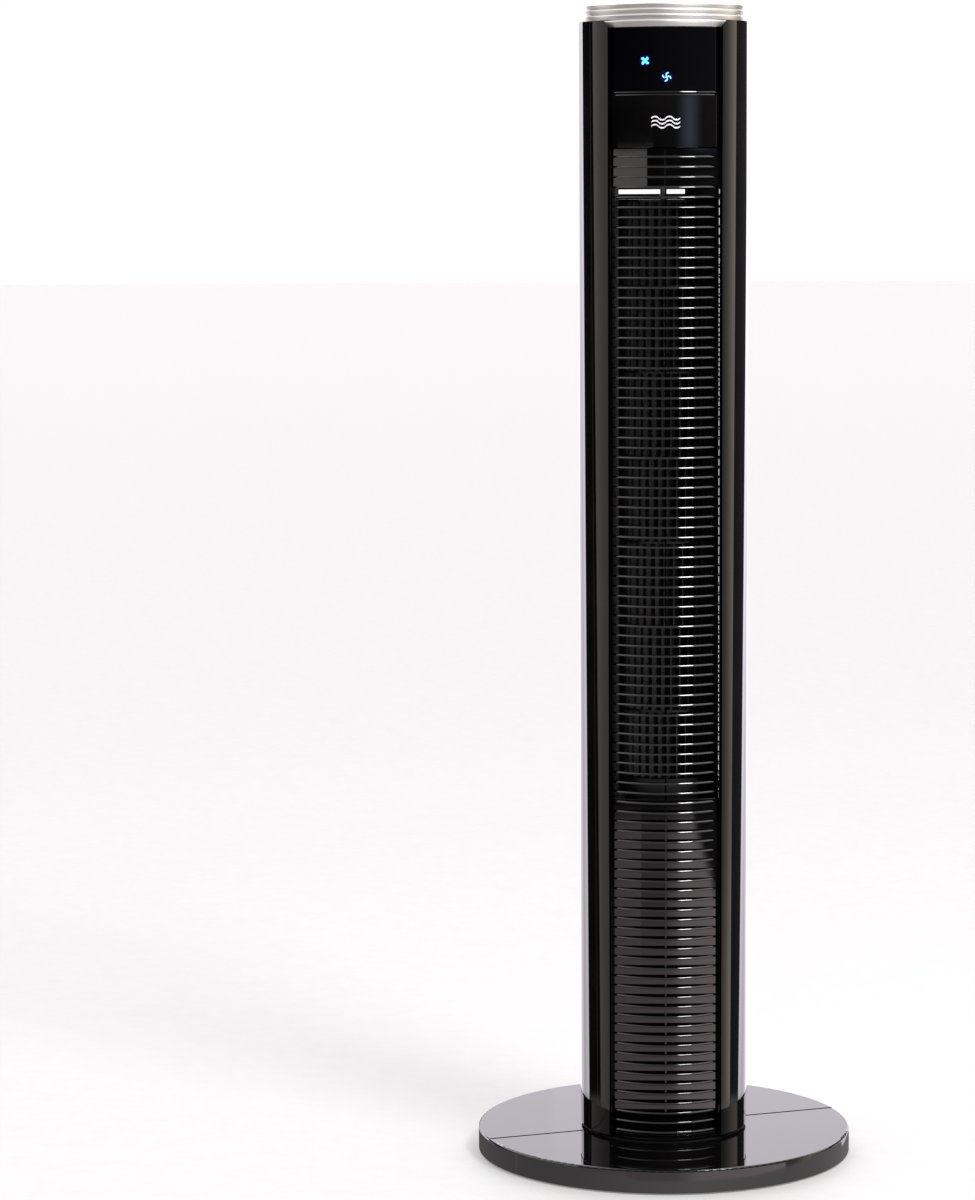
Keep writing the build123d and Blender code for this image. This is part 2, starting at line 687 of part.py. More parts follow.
def impeller_wheel():
    """Cross-flow wheel: eight discs joined by seven staggered rows of blades."""
    profile = blade()
    pieces = []
    height = SEGMENT_PITCH - DISC_THICK
    for k in range(SEGMENTS):
        z0 = WHEEL_Z0 + DISC_THICK + k * SEGMENT_PITCH
        stagger = k * 360.0 / BLADES / 3
        for i in range(BLADES):
            one = Rot(0, 0, i * 360.0 / BLADES + stagger) * extrude(profile, height)
            pieces.append(Pos(0, 0, z0) * one)
    for k in range(SEGMENTS + 1):
        z0 = WHEEL_Z0 + k * SEGMENT_PITCH
        inner = 0 if k in (0, SEGMENTS) else WHEEL_R - WHEEL_RIM - 2
        ring = disc(WHEEL_R, z0, z0 + DISC_THICK)
        pieces.append(ring - disc(inner, z0 - 1, z0 + 3) if inner else ring)
    hub = tube(HUB_R, DAMPER_R, WHEEL_Z0 + DISC_THICK, WHEEL_Z0 + DISC_THICK + 10)
    boss = disc(9.0, WHEEL_Z1 - DISC_THICK - 8, WHEEL_Z1 - DISC_THICK)
    wheel = pieces[-1].fuse(*pieces[:-1], hub, boss)
    wheel = wheel - disc(DAMPER_R, WHEEL_Z0 - 1, WHEEL_Z0 + DISC_THICK + 1)
    return wheel - disc(PIN_R, WHEEL_Z1 - 15, WHEEL_Z1 + 1)


def hub_damper():
    return tube(DAMPER_R, SHAFT_R, WHEEL_Z0, WHEEL_Z0 + DISC_THICK + 10)


def top_pivot_pin():
    return disc(PIN_R, WHEEL_Z1 - 15, TOP_BEARING_Z1 + 0.5)


def motor_shaft():
    return disc(SHAFT_R, MOTOR_Z0, WHEEL_Z0 + DISC_THICK + 9)


def motor_rotor():
    return tube(ROTOR_R, SHAFT_R, STATOR_Z0 + 1, STATOR_Z1 - 1)


def motor_stator():
    """Square-shouldered lamination stack with its bore round the rotor."""
    stack = disc(STATOR_R, STATOR_Z0, STATOR_Z1) & block(-STATOR_HALF, STATOR_HALF, -STATOR_HALF, STATOR_HALF,
                                                     STATOR_Z0, STATOR_Z1)
    return stack - disc(ROTOR_R + AIR_GAP, STATOR_Z0 - 1, STATOR_Z1 + 1)


def motor_windings():
    lower = tube(WINDING_R, WINDING_R0, STATOR_Z0 - WINDING_RISE, STATOR_Z0)
    upper = tube(WINDING_R, WINDING_R0, STATOR_Z1, STATOR_Z1 + WINDING_RISE)
    return group([lower, upper])


def motor_end_shields():
    """Cups over both ends of the windings with a bearing seat in the middle of each."""
    height = SHIELD_RISE
    cup = disc(SHIELD_R, 0, height) - disc(SHIELD_R - SHIELD_WALL, -1, height - SHIELD_WALL)
    cup = cup + disc(BEARING_R + 3, height - 9, height + 1)
    cup = cup - disc(BEARING_R, height - 10, height - 0.5) - disc(SHAFT_R + 1, -1, height + 2)
    upper = Pos(0, 0, STATOR_Z1) * cup
    lower = Pos(0, 0, STATOR_Z0) * Rot(180, 0, 0) * cup
    return group([lower, upper])


def motor_bearings():
    far = SHIELD_RISE - 0.5
    near = far - BEARING_LENGTH
    upper = tube(BEARING_R, SHAFT_R + RUNNING, STATOR_Z1 + near, STATOR_Z1 + far)
    lower = tube(BEARING_R, SHAFT_R + RUNNING, STATOR_Z0 - far, STATOR_Z0 - near)
    return group([lower, upper])


def motor_mounts():
    """Four rubber bushes between the motor and its deck."""
    z0 = STATOR_Z1 + SHIELD_RISE
    bushes = []
    for x, y in mount_points():
        bush = tube(MOUNT_R, M3_R, z0, MOTOR_DECK_Z)
        bushes.append(Pos(x, y, 0) * bush)
    return group(bushes)


def motor_screws():
    top = MOTOR_DECK_Z + DECK_THICK
    screws = []
    for x, y in mount_points():
        screws.append(Pos(x, y, top) * Rot(180, 0, 0) * screw(M3_R, DECK_THICK + 5, 2.8, 1.8))
    return group(screws)


def top_bearing():
    return tube(TOP_BEARING_R, PIN_R + RUNNING, TOP_BEARING_Z0, TOP_BEARING_Z1)


def bearing_rubber():
    return tube(TOP_RUBBER_R, TOP_BEARING_R, TOP_BEARING_Z0, TOP_BEARING_Z1)


# ---------------------------------------------------------------- swing drive

def swing_pinion():
    """Pinion and its shaft: a tooth faces the fixed gear's gap at rest."""
    gear = spur_gear(PINION_TEETH, GEAR_Z0 + 0.2, GEAR_THICK - 0.4, 0)
    gear = Rot(0, 0, -90) * gear
    shaft = disc(SWING_SHAFT_R, GEAR_Z0 + GEAR_THICK - 1, SWING_MOTOR_Z + 6)
    return Pos(0, PINION_Y, 0) * (gear + shaft)


def swing_bracket():
    """Bridge over the gear that carries the swing motor."""
    deck_z = SWING_MOTOR_Z - 2.0
    y0 = SWING_MOTOR_Y - BRACKET_DEPTH
    y1 = SWING_MOTOR_Y + BRACKET_DEPTH
    plate = block(-BRACKET_HALF, BRACKET_HALF, y0, y1, deck_z, SWING_MOTOR_Z)
    leg = block(BRACKET_HALF - 3, BRACKET_HALF, y0, y1, PLINTH_Z + FLOOR_THICK, deck_z)
    body = plate.fuse(leg, mirror(leg, Plane.YZ))
    body = body - Pos(0, PINION_Y, 0) * disc(SWING_SHAFT_R + 1, deck_z - 1, SWING_MOTOR_Z + 1)
    for side in (-1, 1):
        body = body - Pos(side * EAR_X, SWING_MOTOR_Y, 0) * disc(M3_R, deck_z - 1, SWING_MOTOR_Z + 1)
    return body


def swing_motor():
    """Flat synchronous gearmotor with two ears and its shaft off centre."""
    can = Pos(0, SWING_MOTOR_Y, 0) * disc(SWING_MOTOR_R, SWING_MOTOR_Z, SWING_MOTOR_Z + SWING_MOTOR_H)
    ears = block(-34, 34, SWING_MOTOR_Y - 5, SWING_MOTOR_Y + 5, SWING_MOTOR_Z, SWING_MOTOR_Z + 1.5)
    body = can + ears - Pos(0, PINION_Y, 0) * disc(SWING_SHAFT_R + RUNNING, SWING_MOTOR_Z - 1,
                                                   SWING_MOTOR_Z + 7)
    for side in (-1, 1):
        body = body - Pos(side * EAR_X, SWING_MOTOR_Y, 0) * disc(M3_R, SWING_MOTOR_Z - 1, SWING_MOTOR_Z + 3)
    return body


def swing_motor_screws():
    screws = []
    for side in (-1, 1):
        one = Rot(180, 0, 0) * screw(M3_R, 5.5, 2.6, 1.8)
        screws.append(Pos(side * EAR_X, SWING_MOTOR_Y, SWING_MOTOR_Z + 1.5) * one)
    return group(screws)


# ---------------------------------------------------------------- electrics

def power_board():
    """Mains board behind the motor space with its relays and transformer."""
    board = block(-BOARD_HALF, BOARD_HALF, BOARD_Y, BOARD_Y + BOARD_THICK, BOARD_Z0, BOARD_Z1)
    transformer = block(-30, 0, BOARD_Y - 26, BOARD_Y, 180, 215)
    relays = [block(8 + 14 * i, 18 + 14 * i, BOARD_Y - 14, BOARD_Y, 185, 203) for i in range(2)]
    chips = [block(-30 + 18 * i, -22 + 18 * i, BOARD_Y - 5, BOARD_Y, 150, 160) for i in range(4)]
    return board.fuse(transformer, *relays, *chips)


def run_capacitor():
    return block(10, 34, BOARD_Y - 18, BOARD_Y, 116, 144)


def terminal_block():
    body = block(-34, -4, BOARD_Y - 14, BOARD_Y, 116, 134)
    for i in range(3):
        body = body - Pos(-28 + 9 * i, BOARD_Y - 14, 125) * Rot(90, 0, 0) * Cylinder(2.2, 10)
    return body


def wiring_harness():
    """Bundle from the power board past the blower to the control board."""
    start = (-36.0, BOARD_Y - 4.0, 222.0)
    route = FilletPolyline(start, (-40.0, 40.0, 262.0), (WIRE_X, WIRE_Y, 300.0), (WIRE_X, WIRE_Y, 960.0),
                           (-38.0, 0.0, 985.0), (-24.0, BOARD_FRONT_Y + 12, 1004.0), radius=18)
    with BuildPart() as bundle:
        with BuildLine():
            add(route)
        with BuildSketch(Plane(route @ 0, z_dir=route % 0)):
            Circle(WIRE_R)
        sweep()
    return bundle.part


def control_board():
    """Upright board on the tray with its chips, light boxes and remote receiver."""
    back = BOARD_FRONT_Y + BOARD_THICK
    board = block(-BOARD_HALF, BOARD_HALF, BOARD_FRONT_Y, back, TRAY_Z + DECK_THICK, WINDOW_Z1 - 3)
    chips = [block(-20 + 22 * i, -8 + 22 * i, back, back + 2.4, 965, 977) for i in range(2)]
    socket = block(-30, -16, back, back + 7.4, 1000, 1008)
    receiver = block(27, 33, BOARD_FRONT_Y - 5, BOARD_FRONT_Y, 1012, 1019)
    return board.fuse(*chips, socket, receiver, *icon_lamps())


def fan_glyph(width, slim):
    """Four swept blades round a hub, drawn in the XZ plane."""
    reach = width / 2
    blades = []
    for i in range(4):
        if slim:
            hook = Circle(reach * 0.6) - Circle(reach * 0.32)
            petal = Pos(reach * 0.42, 0) * hook & Pos(reach * 0.5, reach * 0.5) * Rectangle(reach * 1.2, reach)
        else:
            petal = Pos(reach * 0.55, reach * 0.42) * Rot(0, 0, 38) * Ellipse(reach * 0.6, reach * 0.36)
        blades.append(Rot(0, 0, 90 * i) * petal)
    glyph = Circle(reach * (0.2 if slim else 0.42))
    for petal in blades:
        glyph = glyph + petal
    return glyph


def through_front(glyph, x, z):
    """Prism of a glyph along Y in front of the column's axis."""
    upright = Pos(x, -40, z) * Rot(90, 0, 0) * glyph
    return extrude(upright, 50, dir=(0, -1, 0))


def icon_prisms():
    return [through_front(fan_glyph(ICON_LEFT_WIDTH, slim=False), *ICON_LEFT),
            through_front(fan_glyph(ICON_RIGHT_WIDTH, slim=True), *ICON_RIGHT)]


def window_blank():
    return front_wall(WINDOW_R, WINDOW_R - WINDOW_THICK, WINDOW_Z0, WINDOW_Z1)


def display_window():
    body = window_blank()
    for prism in icon_prisms():
        body = body - prism
    return body


def display_icons():
    """Translucent fan symbols set into the window and lit from behind."""
    icons = [window_blank() & prism for prism in icon_prisms()]
    return group([solid for icon in icons for solid in icon.solids()])


def icon_lamps():
    """Light boxes between the control board and the two symbols."""
    lamps = []
    for x, z in (ICON_LEFT, ICON_RIGHT):
        lamp = block(x - LAMP_HALF, x + LAMP_HALF, -80, BOARD_FRONT_Y, z - LAMP_HALF, z + LAMP_HALF)
        lamps.append(lamp & disc(WINDOW_R - WINDOW_THICK, z - 8, z + 8))
    return lamps


def wave_prisms():
    """Three airflow waves, each a chain of four arcs with square ends."""
    prisms = []
    length = 26.0
    swell = 1.5
    thick = 1.3
    for level in (-3.6, 0.0, 3.6):
        step = length / 4
        points = [(-length / 2 + step * i, level) for i in range(5)]
        with BuildSketch() as face:
            with BuildLine():
                for i in range(4):
                    sign = 1 if i % 2 == 0 else -1
                    mid = ((points[i][0] + points[i + 1][0]) / 2, level + sign * swell)
                    ThreePointArc(points[i], mid, points[i + 1])
                Line(points[4], (points[4][0], level - thick))
                for i in reversed(range(4)):
                    sign = 1 if i % 2 == 0 else -1
                    mid = ((points[i][0] + points[i + 1][0]) / 2, level + sign * swell - thick)
                    ThreePointArc((points[i + 1][0], level - thick), mid, (points[i][0], level - thick))
                Line((points[0][0], level - thick), points[0])
            make_face()
        prisms.append(through_front(face.sketch, 0.0, WAVE_Z))
    return prisms


def badge_blank():
    return front_wall(BADGE_R, BADGE_R - BADGE_THICK, GRILLE_Z1 + 0.7, BADGE_Z1)


def badge_skin():
    return tube(BADGE_R + 1, BADGE_R - INLAY_DEPTH, GRILLE_Z1 - 5, BADGE_Z1 + 5)


def badge_panel():
    body = badge_blank()
    for prism in wave_prisms():
        body = body - (prism & badge_skin())
    return body


def airflow_badge():
    """Plain wave symbol inlaid in the badge panel."""
    waves = [badge_blank() & badge_skin() & prism for prism in wave_prisms()]
    return group([solid for wave in waves for solid in wave.solids()])


# ---------------------------------------------------------------- cap and buttons

def silver_cap():
    """Turned band of four stacked rings with a lip round the control panel."""
    rings = 3
    depth = 0.9
    z_low = HEIGHT - rings * RING_PITCH
    bottom = WINDOW_Z1 + 0.1
    inner = CAP_R - CAP_WALL
    with BuildPart() as cap:
        with BuildSketch(Plane.XZ):
            with BuildLine():
                Line((inner, PANEL_Z0 - 2.5), (inner, bottom))
                Line((inner, bottom), (CAP_R - 0.4, bottom))
                top = z_low - RING_GROOVE / 2
                ThreePointArc((CAP_R - 0.4, bottom), (CAP_R, (bottom + top) / 2), (CAP_R - 0.4, top))
                for i in range(rings):
                    low = z_low + i * RING_PITCH + RING_GROOVE / 2
                    high = z_low + (i + 1) * RING_PITCH - RING_GROOVE / 2
                    Polyline((CAP_R - 0.4, top), (CAP_R - depth, low - RING_GROOVE / 2), (CAP_R - 0.4, low))
                    if i == rings - 1:
                        high = HEIGHT - 2.2
                    ThreePointArc((CAP_R - 0.4, low), (CAP_R, (low + high) / 2), (CAP_R - 0.4, high))
                    top = high
                ThreePointArc((CAP_R - 0.4, top), (CAP_R - 1.1, HEIGHT - 0.6), (CAP_R - 2.6, HEIGHT))
                Polyline((CAP_R - 2.6, HEIGHT), (CAP_LIP_R + 0.6, HEIGHT), (CAP_LIP_R, HEIGHT - 0.6),
                         (CAP_LIP_R, PANEL_Z0), (CAP_LIP_R - 3, PANEL_Z0), (CAP_LIP_R - 3, PANEL_Z0 - 2.5),
                         (inner, PANEL_Z0 - 2.5))
            make_face()
        revolve(axis=Axis.Z)
    return cap.part


def button_angles():
    middle = (len(BUTTON_NAMES) - 1) / 2
    return [(i - middle) * BUTTON_STEP for i in range(len(BUTTON_NAMES))]


def top_panel():
    body = disc(CAP_LIP_R - 0.1, PANEL_Z0, PANEL_Z1)
    for phi in button_angles():
        body = body - at_phi(BUTTON_RING, phi) * disc(BUTTON_R + 0.3, PANEL_Z0 - 1, PANEL_Z1 + 1)
    return body


def push_button(phi):
    """Round key with a retaining flange, and the stem that works its switch."""
    head = disc(BUTTON_R, BUTTON_FLANGE_Z, BUTTON_TOP)
    head = fillet(head.edges().group_by(Axis.Z)[-1], 0.8)
    flange = disc(BUTTON_R + 1.3, BUTTON_FLANGE_Z - 0.1, PANEL_Z0 - 0.2)
    stem = disc(STEM_R, SWITCH_TOP - 1.2, BUTTON_FLANGE_Z)
    return at_phi(BUTTON_RING, phi) * (head + flange + stem)


def switch_board():
    """Board under the panel with one tact switch below every button."""
    body = disc(56.0, SWITCH_BOARD_Z, SWITCH_BOARD_Z + BOARD_THICK)
    body = body - block(-60, 60, -60, -47, SWITCH_BOARD_Z - 1, SWITCH_BOARD_Z + 3)
    for phi in button_angles():
        switch = Pos(0, 0, (SWITCH_BOARD_Z + SWITCH_TOP) / 2) * Box(10, 10, SWITCH_TOP - SWITCH_BOARD_Z)
        body = body + at_phi(BUTTON_RING, phi) * switch
        body = body - at_phi(BUTTON_RING, phi) * disc(STEM_R + RUNNING, SWITCH_TOP - 4, SWITCH_TOP + 1)
    return body


# ---------------------------------------------------------------- output

def all_parts():
    parts = {
        "base_front_half": base_front_half(),
        "base_rear_half": base_rear_half(),
        "cord_gland": cord_gland(),
        "base_feet": base_feet(),
        "pedestal": pedestal(),
        "base_screws": base_screws(),
        "thrust_ring": thrust_ring(),
        "retaining_ring": retaining_ring(),
        "swing_gear": swing_gear(),
        "retainer_screws": retainer_screws(),
        "turntable": turntable(),
        "frame_rails": frame_rails(),
        "front_grille": front_grille(),
        "lower_blank_plate": blank_plate(LOWER_PLATE_Z0, LOWER_PLATE_Z1),
        "upper_blank_plate": blank_plate(UPPER_PLATE_Z0, GRILLE_Z1),
        "left_side_cover": side_cover(-1),
        "right_side_cover": side_cover(1),
        "rear_cover": rear_cover(),
        "case_screws": case_screws(),
        "intake_grille": intake_grille(),
        "handle_cup": handle_cup(),
        "scroll_wall": scroll_wall(),
        "tongue_wall": tongue_wall(),
        "motor_deck": motor_deck(),
        "bearing_deck": bearing_deck(),
        "electronics_tray": electronics_tray(),
        "impeller_wheel": impeller_wheel(),
        "hub_damper": hub_damper(),
        "top_pivot_pin": top_pivot_pin(),
        "motor_shaft": motor_shaft(),
        "motor_rotor": motor_rotor(),
        "motor_stator": motor_stator(),
        "motor_windings": motor_windings(),
        "motor_end_shields": motor_end_shields(),
        "motor_bearings": motor_bearings(),
        "motor_mounts": motor_mounts(),
        "motor_screws": motor_screws(),
        "top_bearing": top_bearing(),
        "bearing_rubber": bearing_rubber(),
        "swing_pinion": swing_pinion(),
        "swing_bracket": swing_bracket(),
        "swing_motor": swing_motor(),
        "swing_motor_screws": swing_motor_screws(),
        "power_board": power_board(),
        "run_capacitor": run_capacitor(),
        "terminal_block": terminal_block(),
        "wiring_harness": wiring_harness(),
        "control_board": control_board(),
        "display_window": display_window(),
        "display_icons": display_icons(),
        "badge_panel": badge_panel(),
        "airflow_badge": airflow_badge(),
        "silver_cap": silver_cap(),
        "top_panel": top_panel(),
        "switch_board": switch_board(),
    }
    for name, phi in zip(BUTTON_NAMES, button_angles()):
        parts[name + "_button"] = push_button(phi)
    return parts


def main():
    os.makedirs("parts", exist_ok=True)
    for name, shape in all_parts().items():
        export_step(shape, "parts/" + name + ".step")


main()
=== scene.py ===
"""Looks of the tower fan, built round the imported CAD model. Lengths are in metres, angles in degrees."""
import math

import bmesh
import bpy
from mathutils import Matrix, Vector


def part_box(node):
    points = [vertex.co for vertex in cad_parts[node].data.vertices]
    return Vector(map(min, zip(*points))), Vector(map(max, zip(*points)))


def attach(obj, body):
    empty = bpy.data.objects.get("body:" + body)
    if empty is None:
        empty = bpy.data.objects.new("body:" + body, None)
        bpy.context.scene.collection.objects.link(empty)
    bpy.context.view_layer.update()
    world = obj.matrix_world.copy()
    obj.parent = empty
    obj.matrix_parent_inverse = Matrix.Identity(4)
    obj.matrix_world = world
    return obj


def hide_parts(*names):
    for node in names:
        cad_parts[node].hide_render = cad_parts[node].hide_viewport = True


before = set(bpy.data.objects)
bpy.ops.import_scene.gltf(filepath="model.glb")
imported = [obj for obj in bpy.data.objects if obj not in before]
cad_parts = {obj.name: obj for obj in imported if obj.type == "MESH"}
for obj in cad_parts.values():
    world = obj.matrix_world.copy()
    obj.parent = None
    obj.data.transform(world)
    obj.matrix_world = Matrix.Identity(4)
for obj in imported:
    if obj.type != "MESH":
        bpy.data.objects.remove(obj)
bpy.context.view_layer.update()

MM = 0.001

# Sizes read from the frame
COVER_LOW, COVER_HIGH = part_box("right_side_cover")
REAR_LOW, REAR_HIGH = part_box("rear_cover")
GRILLE_LOW, GRILLE_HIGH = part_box("front_grille")
WINDOW_LOW, WINDOW_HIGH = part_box("display_window")
BADGE_LOW, BADGE_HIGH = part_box("badge_panel")
CAP_LOW, CAP_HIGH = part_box("silver_cap")
PLATE_LOW, PLATE_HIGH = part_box("lower_blank_plate")
TOP_PLATE_LOW, TOP_PLATE_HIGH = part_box("upper_blank_plate")
INTAKE_LOW, INTAKE_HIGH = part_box("intake_grille")
CUP_LOW, CUP_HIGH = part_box("handle_cup")

# Column and its covers
COLUMN_R = COVER_HIGH.x
SHELL = 2.5 * MM
SEAM_PHI = 115.0
SEAM_GAP = 0.15
COVER_ROUND = 0.7 * MM
COVER_CHAMFER = 4.0 * MM
FLANGE_X0 = COVER_LOW.x
FLANGE_X1 = FLANGE_X0 + 2 * MM
FLANGE_Y = GRILLE_HIGH.y

# Outlet grille; the arcs of a louvre's nose are (radius, start, end, pieces)
OPENING_HALF = 49.8 * MM
RAIL_R = COLUMN_R - 2.3 * MM
LOUVRE_R = 72.9 * MM
LOUVRE_BACK_R = LOUVRE_R - 5.0 * MM
LOUVRE_PITCH = 9.1 * MM
LOUVRE_THICK = 1.8 * MM
LOUVRE_TOP = 932.5 * MM
LOUVRE_COUNT = 100
LOUVRE_LEVELS = [LOUVRE_TOP - i * LOUVRE_PITCH for i in range(LOUVRE_COUNT)]
NOSE_ARCS = ((0.35 * MM, -90, 22, 3), (6.6 * MM, 22, 34, 4), (0.27 * MM, 34, 90, 2))
NOSE_TAIL = 0.42 * LOUVRE_THICK
RIB_HALF = 0.7 * MM

# Inlet grille
INTAKE_OUTER_R = COLUMN_R - SHELL + 2 * MM
INTAKE_INNER_R = COLUMN_R - SHELL - 2 * MM
INTAKE_HALF = 57.9
INTAKE_TOP = 902.7 * MM
WIDE_BAR = (893.0 * MM, 898.6 * MM)

# Head of the column
WINDOW_R = 73.4 * MM
WINDOW_BACK_R = 71.4 * MM
BADGE_R = 74.0 * MM
BADGE_BACK_R = 71.6 * MM
PANEL_GAP = 0.05
PLATE_CURVE = 110.0 * MM
PLATE_CENTRE_Y = 45.0 * MM
PLATE_THICK = 2.2 * MM
CAP_PITCH = 5.1 * MM
CAP_WALL = 2.7 * MM
CAP_LIP_R = 66.0 * MM
CAP_ROUND = 0.8 * MM
RING_BULGE = 0.09 * MM
RING_GAP = 0.4 * MM
RING_GROOVE_DEPTH = 0.3 * MM

# Lit symbols on the window, as (x, z)
ICON_LEFT = (-18.6 * MM, 1018.4 * MM)
ICON_RIGHT = (0.9 * MM, 1003.9 * MM)

# Edges over the corner angle are rounded; after that, edges over the sharp angle keep their own
# normals, and on crisp pieces the facets of the rounding do too
CORNER = 35.0
SHARP = 40.0
CRISP = 8.0

# Largest turns between the facets of a curved wall and of finer bars and rings
WALL_STEP = 1.5
FINE_STEP = 2.0


# ------------------------------------------------------------------ mesh helpers

def polar(radius, phi, z):
    """Point at an angle from the column's front (-Y) towards +X."""
    a = math.radians(phi)
    return Vector((radius * math.sin(a), -radius * math.cos(a), z))


def opening_phi(radius):
    """Angle at which the outlet's side cuts a radius."""
    return math.degrees(math.asin(OPENING_HALF / radius))


def steps(start, end, largest):
    """Even values from start to end, no further apart than the largest step."""
    count = max(1, math.ceil(abs(end - start) / largest - 1e-6))
    return [start + (end - start) * i / count for i in range(count + 1)]


def piece(name, bm, body, material, replaces=(), sharp=SHARP):
    """Turn a bmesh into a finished piece of the object."""
    bmesh.ops.recalc_face_normals(bm, faces=bm.faces)
    mesh = bpy.data.meshes.new(name)
    bm.to_mesh(mesh)
    bm.free()
    obj = bpy.data.objects.new(name, mesh)
    bpy.context.scene.collection.objects.link(obj)
    for polygon in mesh.polygons:
        polygon.use_smooth = True
    mesh.set_sharp_from_angle(angle=math.radians(sharp))
    mesh.materials.append(material)
    weighted = obj.modifiers.new("weighted", "WEIGHTED_NORMAL")
    weighted.keep_sharp = True
    weighted.weight = 100
    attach(obj, body)
    if replaces:
        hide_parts(*replaces)
    return obj


def soften(bm, width, segments=2):
    """Round every edge over the corner angle."""
    least = math.radians(CORNER)
    edges = [e for e in bm.edges if len(e.link_faces) == 2 and e.calc_face_angle(0) > least]
    bmesh.ops.bevel(bm, geom=edges, offset=width, segments=segments, profile=0.5, affect="EDGES",
                    clamp_overlap=True)


def bridge_rings(bm, rings, closed_path=False):
    """Skin a list of equal vertex rings with quads, capped at both ends unless the path closes."""
    count = len(rings[0])
    pairs = list(zip(rings, rings[1:]))
    if closed_path:
        pairs.append((rings[-1], rings[0]))
    for a, b in pairs:
        for i in range(count):
            j = (i + 1) % count
            bm.faces.new((a[i], a[j], b[j], b[i]))
    if not closed_path:
        bm.faces.new(rings[0])
        bm.faces.new(list(reversed(rings[-1])))


def lathe(profile, phi0=0.0, phi1=360.0, step=FINE_STEP):
    """Sweep a closed profile of (radius, z) points about the column's axis."""
    bm = bmesh.new()
    full = abs(phi1 - phi0) >= 359.9
    angles = steps(phi0, phi1, step)
    if full:
        angles = angles[:-1]
    rings = [[bm.verts.new(polar(r, phi, z)) for r, z in profile] for phi in angles]
    bridge_rings(bm, rings, closed_path=full)
    return bm


def rounded_bar_profile(r0, r1, z0, z1):
    """Section of a bar with rounded corners, as (radius, z) points."""
    radius, segments = 0.6 * MM, 2
    points = []
    centres = [(r1 - radius, z0 + radius, -90), (r1 - radius, z1 - radius, 0),
               (r0 + radius, z1 - radius, 90), (r0 + radius, z0 + radius, 180)]
    for cr, cz, start in centres:
        for i in range(segments + 1):
            a = math.radians(start + 90 * i / segments)
            points.append((cr + radius * math.cos(a), cz + radius * math.sin(a)))
    return points


def curved_panel(r_out, r_in, phi0, phi1, z0, z1, holes=()):
    """Curved wall with openings, each given as (phi0, phi1, z0, z1)."""
    marks = sorted({phi0, phi1, *[h[0] for h in holes], *[h[1] for h in holes]})
    phis = []
    for a, b in zip(marks, marks[1:]):
        phis += steps(a, b, WALL_STEP)[:-1]
    phis.append(marks[-1])
    levels = sorted({z0, z1, *[h[2] for h in holes], *[h[3] for h in holes]})
    bm = bmesh.new()
    made = {}

    def vert(side, i, k):
        key = (side, i, k)
        if key not in made:
            made[key] = bm.verts.new(polar(r_out if side else r_in, phis[i], levels[k]))
        return made[key]

    def solid(i, k):
        if not (0 <= i < len(phis) - 1 and 0 <= k < len(levels) - 1):
            return False
        phi = (phis[i] + phis[i + 1]) / 2
        z = (levels[k] + levels[k + 1]) / 2
        return not any(h[0] < phi < h[1] and h[2] < z < h[3] for h in holes)

    for i in range(len(phis) - 1):
        for k in range(len(levels) - 1):
            if not solid(i, k):
                continue
            for side in (0, 1):
                bm.faces.new((vert(side, i, k), vert(side, i + 1, k), vert(side, i + 1, k + 1),
                              vert(side, i, k + 1)))
            borders = [((i - 1, k), (i, k), (i, k + 1)), ((i + 1, k), (i + 1, k), (i + 1, k + 1)),
                       ((i, k - 1), (i, k), (i + 1, k)), ((i, k + 1), (i, k + 1), (i + 1, k + 1))]
            for neighbour, a, b in borders:
                if not solid(*neighbour):
                    bm.faces.new((vert(0, *a), vert(0, *b), vert(1, *b), vert(1, *a)))
    bmesh.ops.recalc_face_normals(bm, faces=bm.faces)
    return bm


def rectangle(x0, x1, y0, y1):
    return [(x0, y0), (x1, y0), (x1, y1), (x0, y1)]


def plan_prism(outline, z0, z1):
    """Upright prism from (x, y) points."""
    bm = bmesh.new()
    rings = [[bm.verts.new((x, y, z)) for x, y in outline] for z in (z0, z1)]
    bridge_rings(bm, rings)
    bmesh.ops.recalc_face_normals(bm, faces=bm.faces)
    return bm


def join(target, other):
    """Add another bmesh's geometry to the target."""
    mesh = bpy.data.meshes.new("join")
    other.to_mesh(mesh)
    other.free()
    target.from_mesh(mesh)
    bpy.data.meshes.remove(mesh)


# ------------------------------------------------------------------ materials

PLASTIC_IOR = 1.5


def nodes_of(material):
    return material.node_tree.nodes, material.node_tree.links


